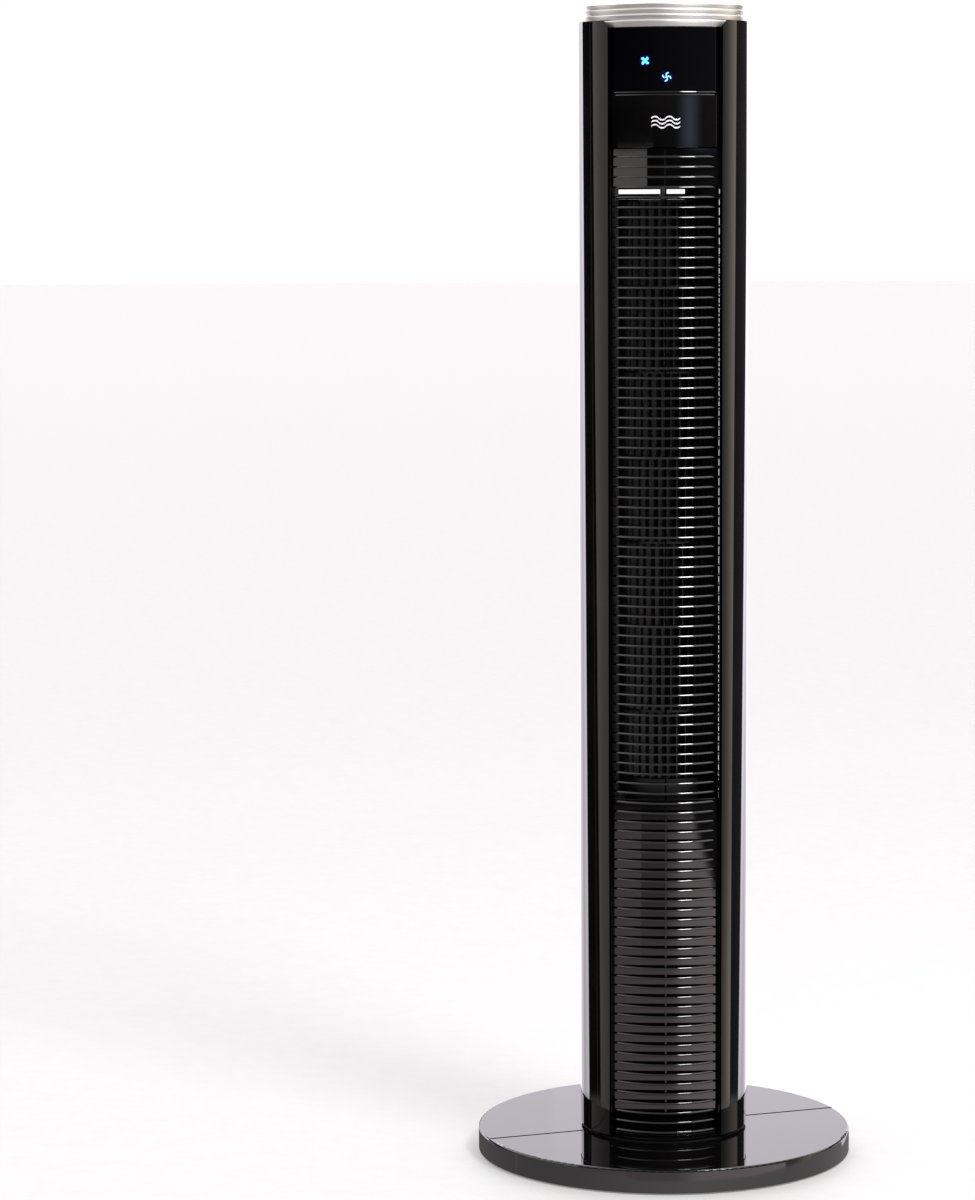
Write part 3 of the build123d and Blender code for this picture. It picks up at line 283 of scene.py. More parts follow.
def surface(name, dark, light, rough, grain, bump, metallic=0.0, speck=0.0, stretch=(1, 1, 1)):
    """Principled material whose colour, roughness and fine relief vary with noise.

    dark and light are the two ends of the colour, rough the two ends of the roughness, grain the
    size of the relief in metres and bump its strength. speck adds pits to the relief, and stretch
    multiplies the noise's frequency along each axis.
    """
    material = bpy.data.materials.new(name)
    material.use_nodes = True
    nodes, links = nodes_of(material)
    shader = nodes["Principled BSDF"]
    shader.inputs["Metallic"].default_value = metallic
    shader.inputs["IOR"].default_value = PLASTIC_IOR
    place = nodes.new("ShaderNodeTexCoord")
    spread = nodes.new("ShaderNodeMapping")
    spread.inputs["Scale"].default_value = stretch
    links.new(place.outputs["Object"], spread.inputs["Vector"])

    cloud = nodes.new("ShaderNodeTexNoise")
    cloud.inputs["Scale"].default_value = 22.0
    cloud.inputs["Detail"].default_value = 5.0
    links.new(spread.outputs["Vector"], cloud.inputs["Vector"])
    tint = nodes.new("ShaderNodeValToRGB")
    tint.color_ramp.elements[0].position = 0.35
    tint.color_ramp.elements[1].position = 0.7
    tint.color_ramp.elements[0].color = (*dark, 1)
    tint.color_ramp.elements[1].color = (*light, 1)
    links.new(cloud.outputs["Fac"], tint.inputs["Fac"])
    links.new(tint.outputs["Color"], shader.inputs["Base Color"])

    smear = nodes.new("ShaderNodeTexNoise")
    smear.inputs["Scale"].default_value = 60.0
    smear.inputs["Detail"].default_value = 6.0
    smear.inputs["Roughness"].default_value = 0.65
    links.new(spread.outputs["Vector"], smear.inputs["Vector"])
    gloss = nodes.new("ShaderNodeMapRange")
    gloss.inputs["From Min"].default_value = 0.3
    gloss.inputs["From Max"].default_value = 0.75
    gloss.inputs["To Min"].default_value = rough[0]
    gloss.inputs["To Max"].default_value = rough[1]
    links.new(smear.outputs["Fac"], gloss.inputs["Value"])
    links.new(gloss.outputs["Result"], shader.inputs["Roughness"])

    relief = nodes.new("ShaderNodeTexNoise")
    relief.inputs["Scale"].default_value = 1.0 / grain
    relief.inputs["Detail"].default_value = 3.0
    links.new(spread.outputs["Vector"], relief.inputs["Vector"])
    height = relief.outputs["Fac"]
    if speck:
        pits = nodes.new("ShaderNodeTexVoronoi")
        pits.inputs["Scale"].default_value = 0.6 / grain
        links.new(spread.outputs["Vector"], pits.inputs["Vector"])
        both = nodes.new("ShaderNodeMath")
        both.operation = "MULTIPLY_ADD"
        both.inputs[1].default_value = speck
        links.new(pits.outputs["Distance"], both.inputs[0])
        links.new(relief.outputs["Fac"], both.inputs[2])
        height = both.outputs["Value"]
    dent = nodes.new("ShaderNodeBump")
    dent.inputs["Strength"].default_value = bump
    dent.inputs["Distance"].default_value = grain * 0.25
    links.new(height, dent.inputs["Height"])
    links.new(dent.outputs["Normal"], shader.inputs["Normal"])
    return material


def glowing(name, colour, strength):
    """Lit symbol whose glow varies a little with fine noise."""
    material = surface(name, [c * 0.5 for c in colour], colour, (0.2, 0.3), 0.4 * MM, 0.05)
    nodes, links = nodes_of(material)
    shader = nodes["Principled BSDF"]
    shader.inputs["Emission Strength"].default_value = strength
    grain = nodes.new("ShaderNodeTexNoise")
    grain.inputs["Scale"].default_value = 240.0
    ramp = nodes.new("ShaderNodeValToRGB")
    ramp.color_ramp.elements[0].color = (*[c * 0.8 for c in colour], 1)
    ramp.color_ramp.elements[1].color = (*[min(1.0, c * 1.15 + 0.03) for c in colour], 1)
    links.new(grain.outputs["Fac"], ramp.inputs["Fac"])
    links.new(ramp.outputs["Color"], shader.inputs["Emission Color"])
    return material


GLOSS = surface("gloss_black_abs", (0.0012, 0.001, 0.0012), (0.0025, 0.0022, 0.0025), (0.015, 0.03),
                1.6 * MM, 0.002)
MOULD = surface("moulded_black_abs", (0.0014, 0.0013, 0.0014), (0.003, 0.0028, 0.003), (0.008, 0.016),
                0.8 * MM, 0.001)
INNER = surface("inner_black_plastic", (0.004, 0.004, 0.004), (0.008, 0.008, 0.008), (0.45, 0.6),
                0.5 * MM, 0.2, speck=0.4)
TONGUE = surface("satin_black_plastic", (0.09, 0.087, 0.083), (0.13, 0.125, 0.12), (0.5, 0.65), 0.5 * MM, 0.1)
PANE = surface("window_acrylic", (0.0004, 0.0003, 0.0008), (0.0007, 0.0006, 0.0014), (0.01, 0.02),
               3.0 * MM, 0.001)
SILVER = surface("turned_silver", (0.66, 0.65, 0.63), (0.8, 0.79, 0.77), (0.34, 0.44), 0.25 * MM, 0.2,
                 metallic=1.0, stretch=(0.12, 0.12, 7.0))
RUBBER = surface("foot_rubber", (0.012, 0.012, 0.012), (0.03, 0.03, 0.03), (0.75, 0.95), 0.6 * MM, 0.5,
                 speck=0.6)
NYLON = surface("natural_nylon", (0.62, 0.6, 0.52), (0.78, 0.76, 0.68), (0.35, 0.5), 0.7 * MM, 0.12)
STEEL = surface("zinc_steel", (0.42, 0.42, 0.44), (0.62, 0.62, 0.63), (0.25, 0.45), 0.5 * MM, 0.2,
                metallic=1.0, speck=0.3)
STACK = surface("lamination_steel", (0.2, 0.2, 0.21), (0.34, 0.34, 0.35), (0.35, 0.5), 0.5 * MM, 0.6,
                metallic=1.0, stretch=(0.1, 0.1, 4.0))
COPPER = surface("enamelled_copper", (0.5, 0.16, 0.05), (0.75, 0.32, 0.12), (0.25, 0.4), 0.8 * MM, 0.8,
                 metallic=1.0, stretch=(1.0, 1.0, 2.0))
BRONZE = surface("sintered_bronze", (0.4, 0.24, 0.1), (0.58, 0.38, 0.18), (0.4, 0.55), 0.4 * MM, 0.4,
                 metallic=1.0, speck=0.6)
WHEEL = surface("wheel_plastic", (0.004, 0.004, 0.004), (0.008, 0.008, 0.0085), (0.22, 0.35), 0.9 * MM, 0.1)
BOARD = surface("solder_mask", (0.01, 0.09, 0.04), (0.03, 0.17, 0.07), (0.3, 0.45), 0.6 * MM, 0.15, speck=0.4)
CREAM = surface("cream_plastic", (0.6, 0.58, 0.5), (0.75, 0.73, 0.66), (0.35, 0.5), 0.7 * MM, 0.1)
SLEEVE = surface("wire_sleeve", (0.012, 0.012, 0.012), (0.03, 0.03, 0.03), (0.5, 0.7), 1.0 * MM, 0.8,
                 stretch=(1.0, 1.0, 0.3))
PRINT = surface("printed_white", (0.7, 0.7, 0.72), (0.82, 0.82, 0.84), (0.3, 0.4), 0.5 * MM, 0.05)
CYAN = glowing("icon_cyan", (0.12, 0.66, 0.92), 0.9)
BLUE = glowing("icon_light_blue", (0.25, 0.58, 0.95), 0.85)


def add_halo(material):
    """Faint blue light that spreads in the pane round each lit symbol."""
    nodes, links = nodes_of(material)
    place = nodes.new("ShaderNodeTexCoord")
    glow = None
    for x, z in (ICON_LEFT, ICON_RIGHT):
        distance = nodes.new("ShaderNodeVectorMath")
        distance.operation = "DISTANCE"
        distance.inputs[1].default_value = (x, -math.sqrt(WINDOW_R ** 2 - x * x), z)
        links.new(place.outputs["Object"], distance.inputs[0])
        fade = nodes.new("ShaderNodeMapRange")
        fade.interpolation_type = "SMOOTHERSTEP"
        fade.inputs["From Min"].default_value = 2.0 * MM
        fade.inputs["From Max"].default_value = 7.0 * MM
        fade.inputs["To Min"].default_value = 0.09
        fade.inputs["To Max"].default_value = 0.0
        links.new(distance.outputs["Value"], fade.inputs["Value"])
        if glow is None:
            glow = fade.outputs["Result"]
        else:
            both = nodes.new("ShaderNodeMath")
            links.new(glow, both.inputs[0])
            links.new(fade.outputs["Result"], both.inputs[1])
            glow = both.outputs["Value"]
    shader = nodes["Principled BSDF"]
    shader.inputs["Emission Color"].default_value = (0.02, 0.1, 1.0, 1)
    links.new(glow, shader.inputs["Emission Strength"])


add_halo(PANE)


# ------------------------------------------------------------------ outer covers

def side_cover(side, name, node):
    """Glossy pillar: curved wall, return flange beside the louvres, rounded edges."""
    seam = SEAM_PHI - SEAM_GAP
    front = math.degrees(math.asin(FLANGE_X0 / COLUMN_R))
    outer = [polar(COLUMN_R, phi, 0) for phi in steps(front, seam, WALL_STEP)]
    inner_r = COLUMN_R - SHELL
    inner_front = math.degrees(math.asin(FLANGE_X1 / inner_r))
    inner = [polar(inner_r, phi, 0) for phi in steps(seam, inner_front, WALL_STEP)]
    outline = [(p.x, p.y) for p in outer + inner]
    outline += [(FLANGE_X1, FLANGE_Y), (FLANGE_X0, FLANGE_Y)]
    bm = plan_prism(outline, COVER_LOW.z, COVER_HIGH.z)
    bmesh.ops.bisect_plane(bm, geom=bm.verts[:] + bm.edges[:] + bm.faces[:], clear_inner=True,
                           plane_co=(FLANGE_X0, 0, COVER_HIGH.z - COVER_CHAMFER), plane_no=(1, 0, -1))
    cut = [e for e in bm.edges if len(e.link_faces) == 1]
    bmesh.ops.contextual_create(bm, geom=cut)
    bmesh.ops.recalc_face_normals(bm, faces=bm.faces)
    soften(bm, COVER_ROUND, segments=3)
    if side < 0:
        bmesh.ops.scale(bm, vec=(-1, 1, 1), verts=bm.verts)
    return piece(name, bm, "column", GLOSS, [node])


def rear_cover():
    """Glossy back with openings for the inlet grille and the carry recess."""
    edge = SEAM_PHI + SEAM_GAP
    gap, gap_phi = 0.1 * MM, 0.1
    cup_rim = 2 * MM
    cup_half = math.degrees(math.asin((CUP_HIGH.x - cup_rim) / COLUMN_R))
    intake_half = INTAKE_HALF + gap_phi
    holes = [(180 - intake_half, 180 + intake_half, INTAKE_LOW.z - gap, INTAKE_HIGH.z + gap),
             (180 - cup_half, 180 + cup_half, CUP_LOW.z + cup_rim, CUP_HIGH.z - cup_rim)]
    bm = curved_panel(COLUMN_R, COLUMN_R - SHELL, edge, 360 - edge, REAR_LOW.z, REAR_HIGH.z, holes)
    soften(bm, COVER_ROUND, segments=3)
    return piece("rear_shell", bm, "column", GLOSS, ["rear_cover"])


# ------------------------------------------------------------------ louvres

def nose_section():
    """Louvre section: small lower round, face leaning back, rounded top edge."""
    r, z = LOUVRE_R - NOSE_ARCS[0][0], -LOUVRE_THICK / 2
    points = [(r, z)]
    for radius, start, end, count in NOSE_ARCS:
        turns = [math.radians(a) for a in steps(start, end, (end - start) / count)]
        for a0, a1 in zip(turns, turns[1:]):
            r += radius * (math.cos(a1) - math.cos(a0))
            z += radius * (math.sin(a1) - math.sin(a0))
            points.append((r, z))
    return points + [(LOUVRE_BACK_R, NOSE_TAIL), (LOUVRE_BACK_R, -NOSE_TAIL)]


def louvre(bm, z):
    """Curved bar with a shaped nose, its ends cut square at the opening's sides."""
    section = nose_section()
    count = round(2 * opening_phi(LOUVRE_R) / FINE_STEP)
    rings = []
    for i in range(count + 1):
        share = 2 * i / count - 1
        rings.append([bm.verts.new(polar(r, share * opening_phi(r), z + dz)) for r, dz in section])
    bridge_rings(bm, rings)


def grille_rail(side):
    """Upright at one side of the louvres, back to the cover's flange."""
    x0, x1 = sorted((side * OPENING_HALF, side * FLANGE_X0))
    front = [(x, -math.sqrt(RAIL_R * RAIL_R - x * x)) for x in (x0, x1)]
    bm = plan_prism([*front, (x1, FLANGE_Y), (x0, FLANGE_Y)], GRILLE_LOW.z, GRILLE_HIGH.z)
    soften(bm, 0.5 * MM)
    return bm


def middle_rib(back_y, z0, z1):
    """Thin upright from inside the louvres to a plane at or behind their backs."""
    rib = plan_prism(rectangle(-RIB_HALF, RIB_HALF, -LOUVRE_BACK_R - 2 * MM, back_y), z0, z1)
    soften(rib, 0.2 * MM)
    return rib


def front_grille():
    """Outlet: louvres, rails and the rib, which is deeper between the two blank plates."""
    bm = bmesh.new()
    for z in LOUVRE_LEVELS:
        louvre(bm, z)
    for side in (-1, 1):
        join(bm, grille_rail(side))
    join(bm, middle_rib(-LOUVRE_BACK_R - 0.1 * MM, GRILLE_LOW.z + 4.5 * MM, TOP_PLATE_HIGH.z))
    join(bm, middle_rib(-LOUVRE_BACK_R + 3.0 * MM, PLATE_HIGH.z, TOP_PLATE_LOW.z))
    return piece("outlet_louvres", bm, "column", MOULD, ["front_grille"])


def intake_grille():
    """Inlet: framed bars level with the louvres, a wide bar near the top and one upright rib."""
    phi0, phi1 = 180 - INTAKE_HALF, 180 + INTAKE_HALF
    border, rim = 3.0, 4 * MM
    bar_inset, end_inset = 0.3 * MM, 1.0
    rib_half, rib_round = 0.8, 0.4 * MM
    holes = [(phi0 + border, phi1 - border, INTAKE_LOW.z + rim, INTAKE_TOP)]
    bm = curved_panel(INTAKE_OUTER_R, INTAKE_INNER_R, phi0, phi1, INTAKE_LOW.z, INTAKE_HIGH.z, holes)
    soften(bm, rib_round)
    sections = [rounded_bar_profile(INTAKE_INNER_R + bar_inset, INTAKE_OUTER_R - bar_inset,
                                    z - LOUVRE_THICK / 2, z + LOUVRE_THICK / 2)
                for z in LOUVRE_LEVELS if INTAKE_LOW.z + rim + 1 * MM < z < WIDE_BAR[0]]
    sections.append(rounded_bar_profile(INTAKE_INNER_R, INTAKE_OUTER_R, *WIDE_BAR))
    for section in sections:
        join(bm, lathe(section, phi0 + end_inset, phi1 - end_inset, 2.5))
    rib = curved_panel(INTAKE_OUTER_R - 0.1 * MM, INTAKE_INNER_R, 180 - rib_half, 180 + rib_half,
                       INTAKE_LOW.z + 1 * MM, INTAKE_HIGH.z - 1 * MM)
    soften(rib, rib_round)
    join(bm, rib)
    return piece("inlet_bars", bm, "column", MOULD, ["intake_grille"])


# ------------------------------------------------------------------ head of the column

def display_pane():
    """Curved window between the grille's rails."""
    half = opening_phi(WINDOW_R) - PANEL_GAP
    bm = curved_panel(WINDOW_R, WINDOW_BACK_R, -half, half, WINDOW_LOW.z, WINDOW_HIGH.z)
    soften(bm, 0.5 * MM, segments=3)
    return piece("display_pane", bm, "column", PANE, ["display_window"], sharp=CRISP)


def badge_band():
    """Badge panel whose upper edge leans back, so it catches the light."""
    lean, rise, edge = 0.42 * MM, 0.9 * MM, 0.3 * MM
    half = opening_phi(BADGE_R) - PANEL_GAP
    low, high = BADGE_LOW.z, BADGE_HIGH.z
    profile = [(BADGE_R - edge, low), (BADGE_R, low + edge), (BADGE_R, high - rise),
               (BADGE_R - lean, high - edge / 3), (BADGE_R - lean - edge, high),
               (BADGE_BACK_R, high), (BADGE_BACK_R, low)]
    return piece("badge_band", lathe(profile, -half, half, WALL_STEP), "column", GLOSS,
                 ["badge_panel"], sharp=CRISP)


def window_sill():
    """Narrow ledge along the window's lower edge."""
    half = opening_phi(BADGE_R) - PANEL_GAP
    nose_r, shoulder_r = BADGE_R - 0.2 * MM, BADGE_R - 0.5 * MM
    low = WINDOW_LOW.z - 0.2 * MM
    middle, high = low + 0.5 * MM, low + 1.15 * MM
    profile = [(BADGE_BACK_R, low), (nose_r, low), (nose_r, middle), (shoulder_r, high),
               (BADGE_BACK_R, high)]
    return piece("window_sill", lathe(profile, -half, half, WALL_STEP), "column", GLOSS,
                 ["badge_panel"])


def scroll_lip():
    """Bead along the front edge of the scroll wall, beside the narrow slit."""
    low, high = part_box("scroll_wall")
    width, slit = 3.0 * MM, 0.35 * MM
    y0, y1 = low.y + 1.5 * MM, low.y + 4.0 * MM
    bm = plan_prism(rectangle(high.x - width, OPENING_HALF - slit, y0, y1), low.z, high.z - 1.2 * MM)
    soften(bm, 0.4 * MM)
    return piece("scroll_lip", bm, "column", INNER)


def blank_plate(name, node, low, high):
    """Slightly curved cover over the closed part of the grille."""
    half = OPENING_HALF - 0.1 * MM
    outline = []
    for radius, sides in ((PLATE_CURVE, 1), (PLATE_CURVE - PLATE_THICK, -1)):
        reach = math.degrees(math.asin(half / radius))
        outline += [polar(radius, sides * phi, 0) for phi in steps(-reach, reach, FINE_STEP)]
    bm = plan_prism([(p.x, p.y + PLATE_CENTRE_Y) for p in outline], low.z, high.z)
    soften(bm, 0.3 * MM)
    return piece(name, bm, "column", GLOSS, [node], sharp=CRISP)


def refined(name, node, body, material, width=0.5 * MM, raised=0.0):
    """Copy of a CAD part with every sharp edge rounded."""
    bm = bmesh.new()
    bm.from_mesh(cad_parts[node].data)
    bmesh.ops.remove_doubles(bm, verts=bm.verts, dist=0.01 * MM)
    bmesh.ops.dissolve_limit(bm, angle_limit=math.radians(0.5), verts=bm.verts, edges=bm.edges)
    soften(bm, width, segments=3)
    if raised:
        top = max(v.co.z for v in bm.verts)
        for v in bm.verts:
            if v.co.z > top - 2 * width:
                v.co.z += raised
    return piece(name, bm, body, material, [node])


def fan_icon(centre, reach, petals):
    """Lit four-blade symbol lying on the window; petals are round blobs as (distance, angle, size)."""
    cx, cz = centre
    sides = 14
    bm = bmesh.new()
    for turn in range(4):
        for distance, angle, size in petals:
            a = math.radians(angle + 90 * turn)
            x0, z0 = distance * reach * math.cos(a), distance * reach * math.sin(a)
            rings = []
            for r in (WINDOW_R - 0.4 * MM, WINDOW_R + 0.08 * MM):
                ring = []
                for k in range(sides):
                    t = 2 * math.pi * k / sides
                    x = cx + x0 + size * reach * math.cos(t)
                    z = cz + z0 + size * reach * math.sin(t)
                    ring.append(bm.verts.new((x, -math.sqrt(r * r - x * x), z)))
                rings.append(ring)
            bridge_rings(bm, rings)
    return bm


def lit_icons():
    """Broad fan symbol and slim pinwheel, each made of overlapping round blobs."""
    broad = [(0.0, 0, 0.3), (0.35, 45, 0.27), (0.62, 45, 0.3), (0.75, 52, 0.24)]
    slim = [(0.1, 10, 0.1), (0.28, 18, 0.12), (0.46, 14, 0.14), (0.62, 4, 0.15), (0.74, -8, 0.15),
            (0.82, -20, 0.13)]
    for name, centre, reach, petals, material in (("icon_fan", ICON_LEFT, 4.3 * MM, broad, CYAN),
                                                  ("icon_swirl", ICON_RIGHT, 4.6 * MM, slim, BLUE)):
        piece(name, fan_icon(centre, reach, petals), "column", material, ["display_icons"])


def arc_band(radius, width, start, end):
    """Outline of a curved stroke."""
    turns = [math.radians(a) for a in steps(start, end, 15.0)]
    outer, inner = ([(r * math.cos(a), r * math.sin(a)) for a in turns]
                    for r in (radius + width / 2, radius - width / 2))
    return outer + inner[::-1]


def key_marks():
    """Plain printed sign on each key, riding with it."""
    w = 0.5 * MM
    inner, middle, outer = 1.2 * MM, 2.2 * MM, 3.0 * MM
    stem = rectangle(-w / 2, w / 2, inner, outer)
    short, medium, tall = (rectangle(-middle, -middle + 2 * w, -middle, -inner),
                           rectangle(-w, w, -middle, inner / 2),
                           rectangle(middle - 2 * w, middle, -middle, middle))
    hands = [rectangle(-w / 2, w / 2, 0, inner), rectangle(0, inner, -w / 2, w / 2)]
    arrows = [[(-outer, 0), (-inner, 0), (-middle, inner)], [(inner, 0), (outer, 0), (middle, inner)]]
    signs = {
        "power": [arc_band(middle, w, 125, 415), stem],
        "speed": [short, medium, tall],
        "mode": [arc_band(middle, w, 20, 160), arc_band(inner, w, 20, 160), rectangle(-w, w, -w, w)],
        "timer": [arc_band(middle, w, 0, 180), arc_band(middle, w, 180, 360), *hands],
        "swing": [arc_band(middle, w, 200, 340), *arrows],
    }
    sunk, raised = 0.02 * MM, 0.04 * MM
    for name, strokes in signs.items():
        low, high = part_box(name + "_button")
        x, y = (low.x + high.x) / 2, (low.y + high.y) / 2
        bm = bmesh.new()
        for stroke in strokes:
            join(bm, plan_prism([(x + u, y + v) for u, v in stroke], high.z - sunk, high.z + raised))
        piece(name + "_sign", bm, name + "_key", PRINT)


def silver_cap():
    """Stacked rings as a fine turned profile, with an inner ledge under the top panel."""
    rings, ring_steps, round_steps = 4, 6, 4
    r, top, bottom = CAP_HIGH.x, CAP_HIGH.z, CAP_LOW.z
    levels = [bottom] + [top - CAP_PITCH * k for k in reversed(range(rings))]
    last = rings - 1
    profile = [(r - CAP_WALL, bottom)]
    for k in range(rings):
        low = levels[k] + (RING_GAP if k else 0)
        high = levels[k + 1] - (RING_GAP if k < last else CAP_ROUND)
        for i in range(ring_steps + 1):
            t = i / ring_steps
            profile.append((r - RING_BULGE * (2 * t - 1) ** 2, low + (high - low) * t))
        if k < last:
            profile.append((r - RING_GROOVE_DEPTH, levels[k + 1]))
    for i in range(1, round_steps + 1):
        a = math.radians(90 * i / round_steps)
        profile.append((r - RING_BULGE - CAP_ROUND * (1 - math.cos(a)), top - CAP_ROUND * (1 - math.sin(a))))
    ledge_r, ledge_top = CAP_LIP_R - 3 * MM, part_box("top_panel")[0].z
    ledge_low = ledge_top - 2.5 * MM
    profile += [(CAP_LIP_R + 0.6 * MM, top), (CAP_LIP_R + 0.15 * MM, top - 0.2 * MM),
                (CAP_LIP_R, top - 0.6 * MM), (CAP_LIP_R, ledge_top), (ledge_r, ledge_top),
                (ledge_r, ledge_low), (r - CAP_WALL, ledge_low)]
    return piece("cap_rings", lathe(profile), "column", SILVER, ["silver_cap"])


# ------------------------------------------------------------------ carried-over nodes

LOOKS = (
    (GLOSS, ("top_panel", "power_button", "speed_button", "mode_button", "timer_button", "swing_button")),
    (INNER, ("pedestal", "handle_cup", "scroll_wall", "motor_deck", "bearing_deck", "electronics_tray")),
    (RUBBER, ("cord_gland", "base_feet", "hub_damper", "motor_mounts", "bearing_rubber")),
    (STEEL, ("base_screws", "retaining_ring", "retainer_screws", "frame_rails", "case_screws",
             "top_pivot_pin", "motor_shaft", "motor_end_shields", "motor_screws", "swing_bracket",
             "swing_motor", "swing_motor_screws")),
    (NYLON, ("thrust_ring", "swing_gear", "swing_pinion")),
    (STACK, ("motor_rotor", "motor_stator")),
    (BRONZE, ("motor_bearings", "top_bearing")),
    (BOARD, ("power_board", "control_board", "switch_board")),
    (CREAM, ("run_capacitor", "terminal_block")),
    (TONGUE, ("tongue_wall",)),
    (WHEEL, ("impeller_wheel",)),
    (COPPER, ("motor_windings",)),
    (SLEEVE, ("wiring_harness",)),
    (PRINT, ("airflow_badge",)),
)


def dress_nodes():
    """Give every CAD node that still shows its finished material."""
    for material, names in LOOKS:
        for name in names:
            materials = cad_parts[name].data.materials
            materials.clear()
            materials.append(material)


# ------------------------------------------------------------------ studio

# Camera: turn about the fan and aim are from the front towards -X, pitch is downwards
EYE_TURN = 1.7
EYE_DISTANCE = 3.5466
EYE_HEIGHT = 0.9143
EYE_PITCH = 6.31
EYE_AIM = 2.654
EYE_ROLL = -0.3
LENS = 114.54
SENSOR = 36.0

# Room: what the camera sees behind the fan, and the floor
SEEN_WHITE = 1.02
FLOOR_GLOW = 0.225
FLOOR_HALF = 30.0
LIGHT_TARGET = (0, 0, 0.6)

# World: elevation at which the lit floor of the studio ends, and where the side flats start
FLOOR_BRINK = -14.15
FLAT_START = 79.0


def camera():
    data = bpy.data.cameras.new("camera")
    data.lens = LENS
    data.sensor_width = SENSOR
    obj = bpy.data.objects.new("camera", data)
    bpy.context.scene.collection.objects.link(obj)
    turn = math.radians(EYE_TURN)
    obj.location = (-math.sin(turn) * EYE_DISTANCE, -math.cos(turn) * EYE_DISTANCE, EYE_HEIGHT)
    heading = math.radians(EYE_TURN - EYE_AIM)
    pitch = math.radians(EYE_PITCH)
    level = math.cos(pitch)
    forward = Vector((math.sin(heading) * level, math.cos(heading) * level, -math.sin(pitch)))
    aim = forward.to_track_quat("-Z", "Y")
    obj.rotation_mode = "QUATERNION"
    obj.rotation_quaternion = aim @ Matrix.Rotation(math.radians(EYE_ROLL), 3, "Z").to_quaternion()
    bpy.context.scene.camera = obj


def area_light(name, azimuth, elevation, distance, width, height, radiance):
    """Soft box aimed at the fan; azimuth is measured from its front towards +X."""
    data = bpy.data.lights.new(name, "AREA")
    data.shape = "RECTANGLE"
    data.size = width
    data.size_y = height
    data.energy = radiance * math.pi * width * height
    obj = bpy.data.objects.new(name, data)
    bpy.context.scene.collection.objects.link(obj)
    a, e = math.radians(azimuth), math.radians(elevation)
    way = Vector((math.sin(a) * math.cos(e), -math.cos(a) * math.cos(e), math.sin(e)))
    obj.location = Vector(LIGHT_TARGET) + way * distance
    obj.rotation_mode = "QUATERNION"
    obj.rotation_quaternion = (-way).to_track_quat("-Z", "Y")
    obj.visible_camera = False


class Maths:
    """Short names for the World's maths nodes, and the direction looked in, in degrees.

    side is 0 at the fan's front and positive towards +X, away is its size, up is the elevation,
    and above and below share out the directions over and under the studio's lit floor.
    """

    def __init__(self, tree):
        self.nodes, self.links = tree.nodes, tree.links
        place = self.nodes.new("ShaderNodeTexCoord")
        split = self.nodes.new("ShaderNodeSeparateXYZ")
        self.links.new(place.outputs["Generated"], split.inputs["Vector"])
        around = self.of("ARCTAN2", split.outputs["X"], self.of("MULTIPLY", split.outputs["Y"], -1.0))
        self.side = self.of("MULTIPLY", around, 180 / math.pi)
        self.away = self.of("ABSOLUTE", self.side)
        self.up = self.of("MULTIPLY", self.of("ARCSINE", split.outputs["Z"]), 180 / math.pi)
        raised = self.ramp(self.away, 45.0, 110.0, 0.0, -0.38)
        self.above = self.edge(self.of("ADD", self.up, raised), FLOOR_BRINK, 0.15)
        self.below = self.of("SUBTRACT", 1.0, self.above)

    def of(self, kind, *values):
        """Maths node of a kind; each value is a number or a socket."""
        node = self.nodes.new("ShaderNodeMath")
        node.operation = kind
        for socket, value in zip(node.inputs, values):
            self.feed(socket, value)
        return node.outputs["Value"]

    def feed(self, socket, value):
        if isinstance(value, (int, float)):
            socket.default_value = value
        else:
            self.links.new(value, socket)

    def ramp(self, value, low, high, out_low=0.0, out_high=1.0):
        """Smooth change from one level to another as the value goes from low to high."""
        node = self.nodes.new("ShaderNodeMapRange")
        node.interpolation_type = "SMOOTHSTEP"
        for key, item in (("Value", value), ("From Min", low), ("From Max", high), ("To Min", out_low),
                          ("To Max", out_high)):
            self.feed(node.inputs[key], item)
        return node.outputs["Result"]

    def edge(self, value, level, soft):
        """One over a level, nought under it, with a soft step."""
        return self.ramp(self.of("SUBTRACT", value, level), -soft, soft)

    def under(self, value, level, soft):
        """One under a level, nought over it, with a soft step."""
        return self.of("SUBTRACT", 1.0, self.edge(value, level, soft))

    def band(self, value, low, high, soft):
        """One between low and high, nought outside, with soft steps."""
        return self.product(self.edge(value, low, soft), self.under(value, high, soft))

    def product(self, *values):
        result = values[0]
        for value in values[1:]:
            result = self.of("MULTIPLY", result, value)
        return result


# Each function below returns glows of the World, as (tint, strength)

def sweep(m):
    """White sweep behind the fan, wider towards the floor and brighter at its edges."""
    narrowest, widest = 26.0, 56.0
    middle, rim = 1.75, 3.4
    offset = m.of("SUBTRACT", 180.0, m.away)
    top_fade = m.ramp(m.up, 40.0, 55.0, 1.0, 0.0)
    glows = []
    for half, slope, start in ((m.edge(m.side, 0.0, 1.0), -2.1, 25.5),
                               (m.under(m.side, 0.0, 1.0), -1.0, 38.5)):
        spread = m.of("MULTIPLY_ADD", m.up, slope, start)
        reach = m.of("MINIMUM", m.of("MAXIMUM", spread, narrowest), widest)
        past = m.of("SUBTRACT", offset, reach)
        border = m.ramp(past, -15.0, -2.0, middle, rim)
        glows.append(((1.0, 0.95, 1.03), m.product(m.under(past, 0.0, 0.6), border, top_fade, m.above, half)))
    return glows


def flat(m, bearing, far_edge, fade):
    """Dim flat at one side, from the fan's flank back to its leaning far edge."""
    return m.product(m.edge(bearing, FLAT_START, 1.0), m.under(bearing, far_edge, 0.8),
                     m.ramp(bearing, *fade), m.ramp(m.up, 32.0, 48.0, 1.0, 0.0), m.above)


